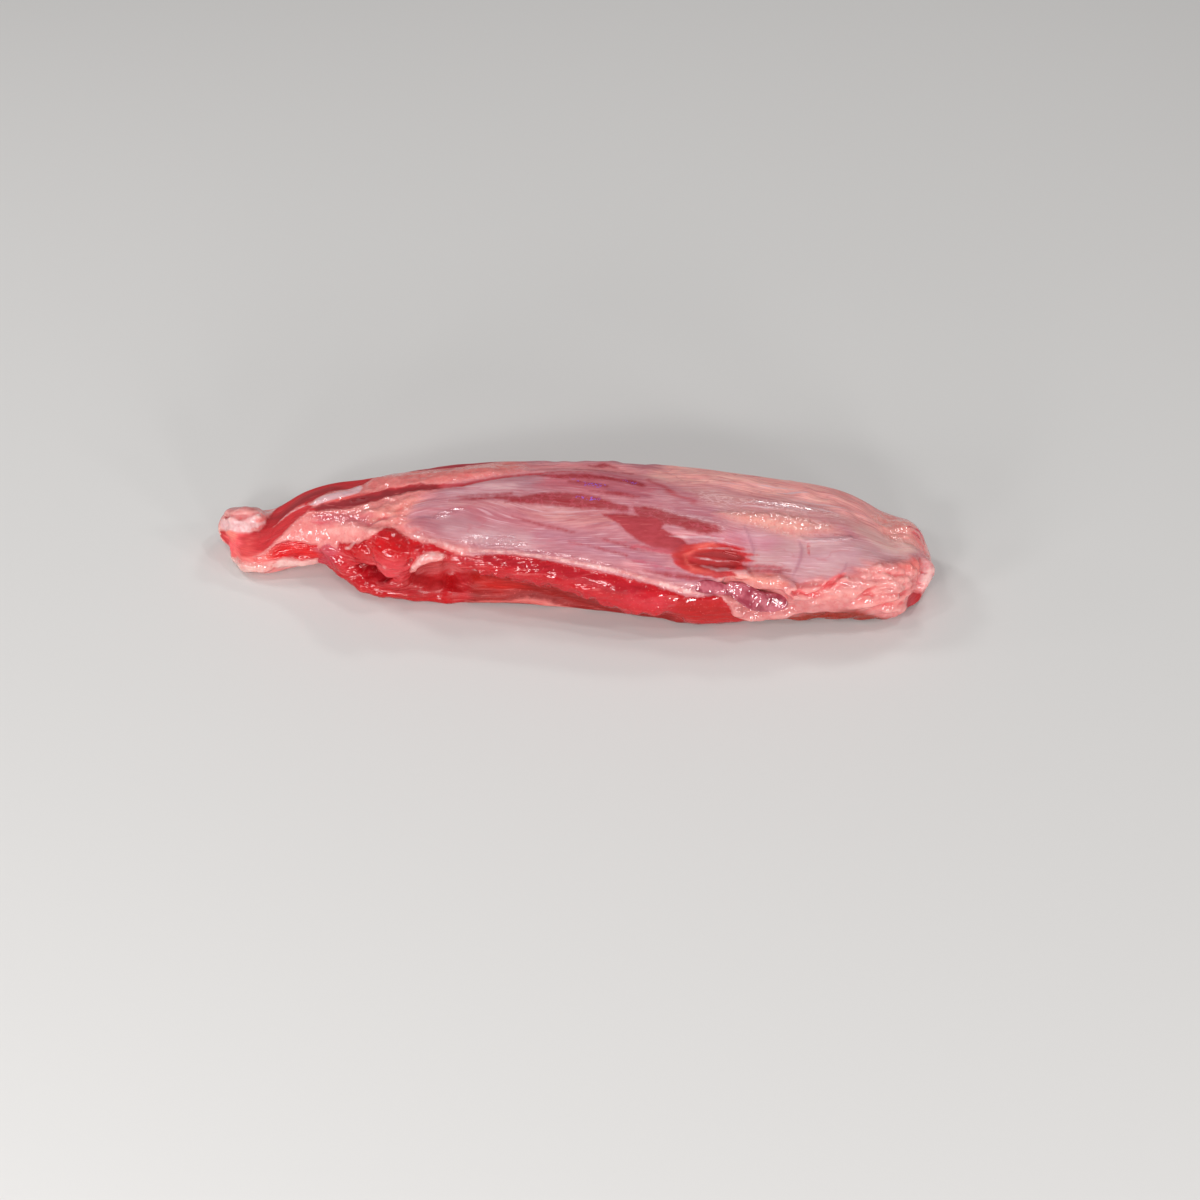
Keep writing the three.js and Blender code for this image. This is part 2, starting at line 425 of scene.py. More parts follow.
# Fine strokes on the finished skin: rise and soft edge in mm, and a path
fineStrokes = {
    "stripeGroove": (-0.8, 1.5, [
        (24, 40, 2.5), (26, 65, 3.5), (30, 92, 4), (38, 104, 5), (50, 102, 5), (62, 108, 4),
        (74, 120, 2),
    ]),
    "silverRidge": (0.7, 0.9, [(29, 66, 0.2), (37, 76, 0.3), (47, 84, 0.2)]),
    "stripCrease": (-0.6, 0.9, [(25, 38, 0.2), (32, 52, 0.3), (40, 64, 0.2)]),
    "secondGroove": (-0.8, 1.4, [
        (53, 69, 1), (66, 71, 2.5), (76, 77, 3), (86, 86, 2.6), (95, 93, 2.6), (106, 88, 1.4),
        (122, 90, 1), (140, 98, 0.5), (162, 103, 0.3),
    ]),
    "paleFlap": (0.7, 1.2, [(53, 82, 1.5), (60, 90, 2.5), (68, 97, 2.5), (72, 108, 1)]),
    "fatBesideStripe": (0.8, 3, [(78, 116, 1), (92, 108, 3), (112, 104, 2), (135, 106, 1)]),
    "curlCrease": (-0.9, 0.5, [
        (5, 77, 0.2), (9, 78, 0.2), (14, 83, 0.2), (19, 89, 0.2), (23, 98, 0.1),
    ]),
    "curlHole": (-2.4, 1.1, [(5, 77, 0.4)]),
    "lipRidge": (0.35, 1, [
        (106, 39, 0.4), (116, 35, 0.5), (131, 30, 0.5), (161, 29, 0.5), (194, 24, 0.5),
        (223, 18, 0.5), (238, 11, 0.5),
    ]),
    "gashRim": (1.3, 1.6, [
        (246, 46, 0.8), (236, 44, 1), (230, 39, 1.4), (231, 31, 1.4), (238, 25, 1),
        (250, 22.5, 0.8),
    ]),
    "slitOne": (-0.6, 0.8, [(240, 37, 0.3), (248, 37.5, 1.3), (258, 37.5, 1.4), (261, 37, 0.3)]),
    "slitTwo": (-0.9, 0.8, [(246, 29.5, 0.2), (252, 29.5, 0.7), (258, 29.5, 0.2)]),
    "slitThree": (-0.7, 0.7, [(247, 44, 0.2), (254, 43.5, 0.5), (262, 41, 0.2)]),
    "shoulderWrinkle": (-0.8, 1, [(80, 53, 0.2), (85, 58, 0.3), (91, 64, 0.3), (98, 65, 0.2)]),
    "knotCrease": (-1, 0.9, [(65, 31, 0.2), (67, 22, 0.3), (72, 24, 0.2)]),
    "tongueCrease": (-1.3, 1.3, [(80, 34, 0.2), (83, 25, 0.3), (84, 14, 0.3)]),
    "creaseInFat": (-2, 1.1, [
        (286, 16, 0.2), (293, 12, 0.4), (300, 15, 0.4), (304, 22, 0.3), (309, 29, 0.2),
    ]),
    "creaseByEnd": (-1.3, 1.2, [(314, 5, 0.2), (319, 13, 0.3), (325, 22, 0.4), (333, 27, 0.2)]),
    "wrinkleOne": (-0.9, 1, [(326, 38, 0.2), (336, 38, 0.3), (346, 34, 0.2)]),
    "wrinkleTwo": (-0.9, 1, [(322, 30, 0.2), (334, 33, 0.3), (346, 27, 0.2)]),
    "wrinkleThree": (-0.9, 1, [(324, 16, 0.2), (336, 19, 0.3), (348, 14, 0.2)]),
    "wrinkleFour": (-0.8, 1.2, [(318, -1, 0.2), (332, 4, 0.3), (346, 3, 0.2)]),
    "gapBeforeFlap": (-0.8, 1.5, [(353, 60, 0.3), (355, 44, 0.5), (355, 26, 0.5), (351, 10, 0.3)]),
    "filmWrinkle": (0.9, 0.7, [
        (288, 54, 0.2), (294, 53, 0.3), (300, 55, 0.3), (306, 57, 0.3), (312, 62, 0.2),
    ]),
    "fatFoldOne": (0.7, 1.2, [(56, 52, 0.3), (66, 53, 0.6), (78, 50, 0.4), (86, 46, 0.2)]),
    "fatFoldTwo": (0.9, 1.2, [(66, 47, 0.3), (74, 47, 0.8), (84, 45, 0.4)]),
    "fatFoldThree": (-0.6, 1, [(84, 50, 0.2), (92, 57, 0.3), (102, 60, 0.3), (112, 60, 0.2)]),
    "fatFoldFour": (-0.5, 1.2, [(88, 68, 0.2), (98, 74, 0.4), (110, 78, 0.3)]),
    "veinOne": (0.35, 0.8, [(261, 60, 0.2), (264, 51, 0.3), (266, 44, 0.3), (265, 34, 0.2)]),
    "veinTwo": (0.4, 0.9, [(287, 53, 0.2), (289, 45, 0.4), (288, 33, 0.4), (286, 26, 0.2)]),
    "filmFold": (-0.6, 0.9, [(262, 31, 0.2), (270, 31.5, 0.3), (280, 30, 0.2)]),
}

# Unevenness of each tissue: size and height of its waves in mm, and how drawn out they are
ripples = {
    "bundles": ("skin", 8, 0.8, 9),
    "skinSwell": ("skin", 15, 0.9, 2.4),
    "fatSwell": ("fat", 11, 0.9, 2),
    "fatDimples": ("fat", 3.6, 0.35, 2),
    "fatLumps": ("lumpy", 5, 1.7, 2.4),
    "fatGrain": ("lumpy", 2.4, 0.6, 2.2),
    "meatLumps": ("flesh", 7, 1.3, 2),
    "meatGrain": ("flesh", 2.8, 0.75, 2.4),
    "rags": ("ragged", 3, 2, 1.3),
    "ridgeBumps": ("uneven", 6, 1.3, 1.5),
}
# Where that unevenness is less ("even") or of a kind of its own
relief = {
    "even": [
        [(100, 0), (103, 12), (108, 19), (118, 21), (128, 15), (131, 0), (126, -10), (108, -12)],
        [(228, 9), (240, 6), (254, 4), (261, -8), (264, -18), (240, -24), (228, -14)],
        [(130, 4), (150, 2), (176, -6), (200, -16), (224, -16), (224, -34), (130, -34)],
    ],
    "lumpy": [
        [(250, -60), (252, 14), (256, 26), (286, 24), (303, 24), (322, 42), (350, 52), (356, 20),
         (350, -60)],
        [(72, 56, 3), (86, 62, 5), (98, 72, 4)],
        [(250, 22, 2), (262, 26, 4), (280, 23, 4), (287, 14, 3)],
    ],
    "ragged": [
        [(124, 20, 0.5), (140, 14, 0.8), (160, 8, 1), (180, 4, 1), (196, -4, 1.5), (208, -9, 2),
         (222, -5, 2)],
    ],
    "uneven": [
        [(160, 128, 3), (200, 124, 5), (260, 118, 7), (310, 112, 8), (344, 104, 6)],
    ],
}

# Where each tissue lies, and what is cut out of it
fleshShapes = {
    "shoulderAndBand": [
        (60, -70), (60, -8), (62, 8), (64, 22), (65, 31), (70, 34), (76, 36), (80, 40), (86, 46),
        (90, 52), (94, 51), (97, 46), (102, 40), (107, 36), (113, 35), (120, 30), (126, 27),
        (132, 26), (140, 28), (152, 28.5), (168, 26), (190, 22), (210, 19), (220, 16), (228, 12),
        (233, 9), (240, 7), (246, 8.5), (252, 8), (255, 4), (257, -2), (259, -8), (263, -13),
        (266, -22), (268, -70),
    ],
    "neck": [
        (53, -20), (53, -2), (54, 8), (54, 19), (57, 25), (60, 28), (64, 24), (67, 32), (70, 20),
        (66, -20),
    ],
    "lowPatch": [
        (15, 6), (20, 12), (25, 18), (29, 26), (33, 32), (38, 33), (43, 29), (48, 25), (54, 24),
        (55, 14), (54, 3), (50, 0), (45, 0), (40, 5), (36, 9), (32, 9), (27, 9), (21, 4),
    ],
    "thinFace": [
        (-5, 38), (0, 44), (4, 47), (12, 54), (19, 59), (23, 66), (24, 30), (20, 5), (16, 2),
        (11, -8), (5, -12), (-2, -24), (-5, 0),
    ],
}
redShapes = {
    **fleshShapes,
    "firstStripe": [
        (17, 4), (20, 22), (21.5, 50), (24, 76), (25.5, 100), (28, 124), (31, 142), (48, 152),
        (70, 146), (82, 126), (77, 121), (73, 113), (70, 104), (64, 100), (57, 97), (54, 92),
        (51, 85), (47, 80), (50, 74), (47, 66), (41, 55), (35, 42), (29, 30), (24, 18),
    ],
    "secondStripe": [
        (49, 70, 1), (56, 73, 1.8), (64, 75, 2.2), (70, 80.5, 3), (77, 85.5, 3), (84, 91, 2.8),
        (91, 94, 2.4), (97, 95, 2.2), (102, 93.5, 2), (107, 90, 1.7), (115, 90, 1.5),
        (124, 90, 1.4), (134, 94.5, 1.1), (144, 99, 0.9), (156, 102, 0.7), (172, 103.5, 0.4),
        (186, 104, 0.1),
    ],
    "leaf": [
        (192, 63), (199, 64), (206, 64), (213, 63.5), (219, 62.5), (222, 58), (222, 55), (226, 52),
        (231, 48.5), (235, 44), (231, 38), (224, 39.5), (218, 41), (212, 44.5), (207, 48.5),
        (203, 53), (199, 58),
    ],
    "topStripe": [
        (90, 132, 0.4), (104, 128, 2.6), (116, 128, 3.2), (128, 129, 2.6), (142, 132, 0.6),
    ],
    "leafTail": [(202, 43, 0.1), (210, 41, 0.7), (220, 39.5, 1), (229, 38.5, 1.2)],
    "lowerTail": [(206, 32, 0.1), (213, 31, 0.5), (221, 28.5, 0.6), (229, 27, 0.1)],
    "gash": [
        (232, 43.5), (228.5, 40), (227, 36), (229, 31), (233, 27), (240, 23.5), (248, 22),
        (255, 23), (259, 25.5), (256, 28), (265, 30.5), (260, 33), (268, 35.5), (262, 37.5),
        (269, 40), (260, 42), (264, 43.5), (252, 46), (242, 46),
    ],
    "shortVein": [(292, 52, 0.5), (292.5, 43, 0.4)],
    "cutCornerLow": [
        (350, 4), (353, 14), (360, 10), (364, -6), (362, -24), (350, -34), (334, -30), (330, -20),
        (340, -13), (347, -9),
    ],
    "cutCornerTop": [
        (341, 110, 0.3), (346, 114, 1.2), (350, 119, 1.8), (355, 118, 1.6), (357, 108, 0.6),
    ],
    "cornerTear": [(344, 102, 0.2), (349, 104, 0.6), (353, 100, 0.2)],
    "flecks": [(50, 54, 0.3), (55, 51, 0.9), (60, 53, 0.3)],
    "backSeam": [
        (40, 165, 2), (70, 160, 4), (110, 166, 5), (160, 160, 3), (210, 166, 5), (260, 158, 3),
        (300, 164, 1),
    ],
    "backPatch": [
        (118, 196), (136, 204), (160, 208), (186, 203), (196, 194), (180, 186), (150, 184),
        (128, 188),
    ],
    "soleSeam": [(70, 236, 3), (120, 242, 6), (180, 238, 7), (240, 244, 6), (300, 238, 3)],
    "soleMeat": [(70, -95), (70, -60), (262, -60), (262, -95)],
}
redCuts = {
    "silverLine": [(30, 68, 0.1), (36, 75, 0.5), (45, 79, 0.3)],
    "membrane": [
        (128, -22.5, 0.5), (140, -22, 1.4), (150, -22.5, 1.5), (158, -22, 2.2), (166, -23.5, 2.2),
        (176, -27.5, 2), (188, -31, 1),
    ],
    "flap": [
        (101.5, 9), (102.5, 18), (106, 25.5), (109.5, 29), (115, 29.5), (119.5, 26), (117, 22.5),
        (112, 22.5), (108, 19), (105.5, 12), (104, 8),
    ],
    "whitePatch": [(128, 12, 0.3), (131, 12.5, 0.9), (134, 14, 0.2)],
}
smoothCuts = {
    "thinFace": [(-6, 60), (24, 68), (25, 30), (22, 6), (12, -14), (-6, -26)],
}
fatShapes = {
    "peach": [
        (247, 69), (254, 73), (262, 76), (270, 77), (290, 76), (302, 72), (304, 67), (301, 62),
        (291, 58), (282, 56), (274, 58), (266, 62), (256, 65),
    ],
    "thinEnd": [
        (-30, -70), (-30, 165), (40, 170), (90, 150), (130, 132), (154, 118), (156, 106), (140, 99),
        (122, 93), (108, 88), (102, 76), (99, 64), (100, 54), (106, 47), (116, 37.5), (128, 32),
        (150, 29.5), (180, 26.5), (205, 22.5), (222, 18.5), (236, 12), (246, 9), (246, -70),
    ],
    "frontBand": [
        (250, -70), (250, 14), (252, 22), (258, 26.5), (264, 28), (268, 25), (278, 27), (283, 24),
        (286, 21), (290, 22), (297, 25.5), (303, 23), (308, 28), (315, 34), (321, 40), (327, 47),
        (333, 51), (342, 53), (350, 58), (356, 66), (400, 70), (400, -70),
    ],
    "cutEndTop": [(330, 84), (345, 74), (400, 70), (400, 160), (330, 150), (322, 110)],
    "backFat": [(200, 176), (214, 186), (240, 192), (276, 188), (300, 178), (280, 168), (236, 168)],
    "backFatThin": [(44, 190), (60, 202), (90, 208), (112, 200), (100, 186), (66, 180)],
}

finish = {"roughVoxel": 1.4, "roughSmoothing": 3, "fineVoxel": 0.985, "fineSmoothing": 4}
evenShare = 0.8  # how much of the flesh's unevenness is lost where it is even


def makeMeat():
    piece = mergedCopy(shin, "meat")
    remesh(piece, finish["roughVoxel"])
    smooth(piece, finish["roughSmoothing"])
    Skin(piece).pushAreas(formAreas)
    addRolls(piece)
    remesh(piece, finish["fineVoxel"])
    smooth(piece, finish["fineSmoothing"])
    Skin(piece).pushStrokes(fineStrokes)
    skin = Skin(piece)
    red = skin.share(redShapes.values(), soft=2, cuts=redCuts.values())
    flesh = skin.share(fleshShapes.values(), soft=2, cuts=redCuts.values())
    fat = skin.share(fatShapes.values(), soft=4, start=0.5) * (1 - red)
    share = {
        "flesh": flesh * (1 - skin.share(relief["even"], soft=4, start=0.5) * evenShare),
        "fat": fat,
        "skin": 1 - red - fat,
        "lumpy": skin.share(relief["lumpy"], soft=4, start=0.5) * fat,
        "ragged": skin.share(relief["ragged"], soft=2, start=1),
        "uneven": skin.share(relief["uneven"], soft=6, start=1),
    }
    rise = np.zeros(len(skin.points))
    for seed, (tissue, size, height, lengthwise) in enumerate(ripples.values()):
        rise += skin.wave(size, lengthwise, seed) * height * share[tissue]
    skin.move(rise)
    return piece


meat = makeMeat()
triangles = sum(len(p.vertices) - 2 for p in meat.data.polygons)
print("meat sculpted,", len(meat.data.vertices), "vertices,", triangles, "triangles")


def rgb(red, green, blue):
    # a colour as it is seen on a screen, 0 to 255, made linear
    linear = []
    for value in (red, green, blue):
        share = value / 255
        linear.append(share / 12.92 if share <= 0.04045 else ((share + 0.055) / 1.055) ** 2.4)
    return (*linear, 1)


# Marks painted over the tissues, and where the film is calm or wet and the meat is dry
rightFilm = [
    (262, 28), (262, 56), (274, 56), (284, 54), (300, 57), (312, 64), (330, 70), (350, 69),
    (354, 62), (340, 55), (328, 50), (316, 38), (306, 28), (294, 26), (276, 28),
]
marks = {
    "bruise": [
        [(146, 69), (150, 74), (157, 77), (164, 79.5), (173, 80), (183, 79), (191, 77), (198, 73),
         (206, 70), (205, 66.5), (194, 67), (183, 66), (170, 67), (158, 68)],
        [(207, 71), (214, 72), (222, 69), (230, 65.5), (239, 62), (248, 59), (250, 54.5), (244, 52),
         (237, 53), (231, 56), (224, 58), (217, 57), (212, 60), (209, 66)],
        [(119, 72, 0.2), (130, 73, 0.8), (143, 74, 1), (150, 73, 1.5)],
        [(122, 76.5, 0.1), (134, 77, 0.5), (148, 78, 0.6)],
        [(199, 97, 0.6), (205, 96, 2.2), (211, 93, 1.8)],
        [(160, 100, 0.4), (170, 98, 1.6), (184, 98.5, 1.8), (196, 97, 1.4), (204, 95, 0.8)],
        [(186, 82, 0.4), (198, 81, 1.2), (210, 79.5, 0.5)],
        [(184, 118, 0.2), (191, 118, 1.6), (198, 117, 0.4)],
        [(160, 110, 0.2), (182, 109, 0.6), (206, 108.5, 0.3)],
        [(150, 57, 0.1), (164, 51.5, 0.5), (180, 47, 0.3)],
        [(178, 40, 0.1), (194, 37, 0.5), (206, 34, 0.3)],
        [(190, 45, 0.1), (204, 41, 0.6), (214, 38, 0.2)],
        [(214, 25, 0.2), (226, 22.5, 1), (238, 20.5, 1.4), (246, 20, 0.4)],
        [(262, 30.5, 0.5), (268, 31.5, 0.8), (276, 31, 0.7), (284, 29, 0.2)],
        [(264, 28, 0.4), (272, 28.5, 1), (280, 28, 0.3)],
        [(176, 92, 1), (186, 90, 1.6), (194, 88, 0.8)],
        [(90, 218, 1), (120, 222, 3), (160, 220, 4), (220, 224, 2)],
    ],
    "mottled": [
        [(234, 92), (246, 90), (260, 87), (274, 90), (292, 90), (304, 87), (312, 82), (308, 77),
         (300, 79), (280, 80), (262, 80), (250, 76), (240, 80)],
        [(209, 73), (218, 72), (230, 68), (242, 64), (252, 60), (251, 54), (240, 54), (228, 58),
         (214, 62)],
    ],
    "vein": [
        [(261, 61, 0.3), (264, 51, 0.5), (266, 44, 0.6), (265.5, 36, 0.5), (264, 31, 0.3)],
        [(287, 53, 0.4), (289, 47, 0.6), (288.5, 39, 0.8), (287, 31, 0.7), (285.5, 26, 0.3)],
        [(311, 40, 0.2), (310, 34, 0.5), (308, 29, 0.3)],
        [(80, 52, 0.1), (85, 57, 0.3), (91, 63, 0.3), (97, 65, 0.1)],
        [(100, 60, 0.1), (106, 58, 0.4), (114, 56, 0.1)],
        [(197, 57, 0.1), (193, 55, 0.3), (186, 52.5, 0.1)],
    ],
    "cream": [
        [(104, 41, 0.2), (110, 38, 0.4), (118, 34, 0.6), (128, 30, 0.6), (140, 30, 0.5),
         (152, 30, 0.5), (168, 28, 0.5), (190, 24.5, 0.7), (210, 21.5, 0.8), (224, 16.5, 1),
         (234, 12, 1), (243, 9, 0.6)],
        [(102.5, 10, 0.6), (104, 17, 1.2), (107, 24, 1.5), (112, 27, 1.6), (117, 26, 1)],
        [(357, 18, 1), (362, 34, 4), (364, 50, 4), (362, 62, 2)],
        [(69, 28, 0.3), (71, 30, 0.5), (74, 36, 0.2)], [(90, 20, 0.7)],
        [(129, 12, 0.3), (133, 13.5, 0.5)],
    ],
    "silverAndGlint": [
        [(30, 69, 0.1), (35, 75, 0.3), (43, 77, 0.3), (49, 79, 0.1)],
        # a painted glint along the film's wrinkle
        [(286, 54, 0.1), (292, 53, 0.4), (300, 55, 0.4), (308, 58, 0.3), (314, 63, 0.1)],
        [(48, 78), (52, 83), (57, 89), (63, 94), (68, 98), (72, 106), (74, 104), (73, 97), (70, 91),
         (64, 85), (58, 79), (52, 75)],
        [(62, 97, 0.2), (68, 101, 0.6), (72, 109, 0.5), (74, 114, 0.1)],
        [(238, 34.5, 0.1), (243, 33.5, 0.3), (249, 32, 0.2), (255, 32.8, 0.1)],
        [(240, 41, 0.1), (250, 42.5, 0.3), (262, 41.5, 0.1)],
        [(241, 29, 0.1), (249, 26.5, 0.3), (257, 27.5, 0.1)],
        [(276, 102, 0.2), (284, 105, 0.8), (292, 106, 0.3)],
        [(283, 94, 0.2), (294, 94.5, 0.6), (306, 96, 0.5), (314, 100, 0.1)],
        [(262, 110, 0.1), (272, 109, 0.4), (284, 110, 0.2)],
        [(224, 50, 0.1), (234, 49.5, 0.4), (244, 49.5, 0.4), (252, 49.5, 0.1)],
        [(262, 85, 0.1), (272, 86.5, 0.5), (284, 83, 0.4), (296, 84, 0.1)],
        [(256, 80, 0.1), (264, 81, 0.5), (274, 81, 0.2)],
        [(286, 88, 0.1), (296, 88, 0.5), (306, 86, 0.2)],
    ],
    # dark red slits partly as painted shade, and painted shade in the cavity and the curl's hole
    "dark": [
        [(239, 36.5), (246, 39), (254, 39.5), (262, 38), (262.5, 35.5), (254, 33.5), (246, 35)],
        [(247, 29.5, 0.2), (252, 29.8, 0.6), (257, 29, 0.3)],
        # painted shade in the cavity beside the tongue and in the curl's hole
        [(77, 4, 0.6), (82, 8, 1), (88, 5, 1), (93, 3, 0.4)], [(5, 80, 0.9)],
    ],
    # violet specks painted as iridescent glints: a painted reflection
    "glint": [
        [(176, 96, 0.5), (183, 91, 0.5)], [(184, 89, 1.4), (190, 88, 1.6), (194, 90, 0.6)],
        [(180, 76, 0.6), (186, 75, 1), (191, 75, 0.8)], [(202, 97, 0.6), (208, 94, 1)],
    ],
    "wet": [
        [(124, 37, 1), (134, 37.5, 3.4), (150, 37.5, 3.4), (158, 36, 1)],
        [(150, 31, 1), (164, 31, 1.6), (180, 28, 2), (196, 25, 2), (212, 21, 2)],
        [(68, 50, 1), (76, 48, 1.8), (85, 45, 1)], [(70, 83, 0.8), (76, 86, 0.8)],
        [(112, 56, 1), (118, 60, 2.6), (125, 64, 1.4)],
        [(286, 54, 0.4), (293, 53, 0.9), (300, 55, 0.9), (308, 58, 0.8), (314, 63, 0.4)],
        [(272, 60, 0.6), (286, 58, 0.8), (300, 60, 0.8), (316, 66, 0.5)],
        [(262, 86, 2), (280, 85, 3), (300, 88, 2)], [(226, 18, 1), (236, 15, 2), (243, 12, 2)],
        [(338, 104, 2), (348, 96, 4), (356, 84, 3)],
    ],
    "calm": [
        rightFilm, [(310, 78), (322, 84), (350, 84), (356, 70), (340, 66), (320, 68)],
        [(110, 44), (112, 56), (130, 58), (150, 50), (170, 44), (170, 36), (140, 36), (120, 40)],
    ],
    "dry": [
        [(124, 8), (150, 3), (176, -3), (196, -11), (212, -18), (232, -18), (250, -26), (250, -60),
         (124, -60)],
        [(104, -4), (104, 9), (110, 17), (122, 17), (130, 8), (130, -8), (112, -10)],
    ],
}

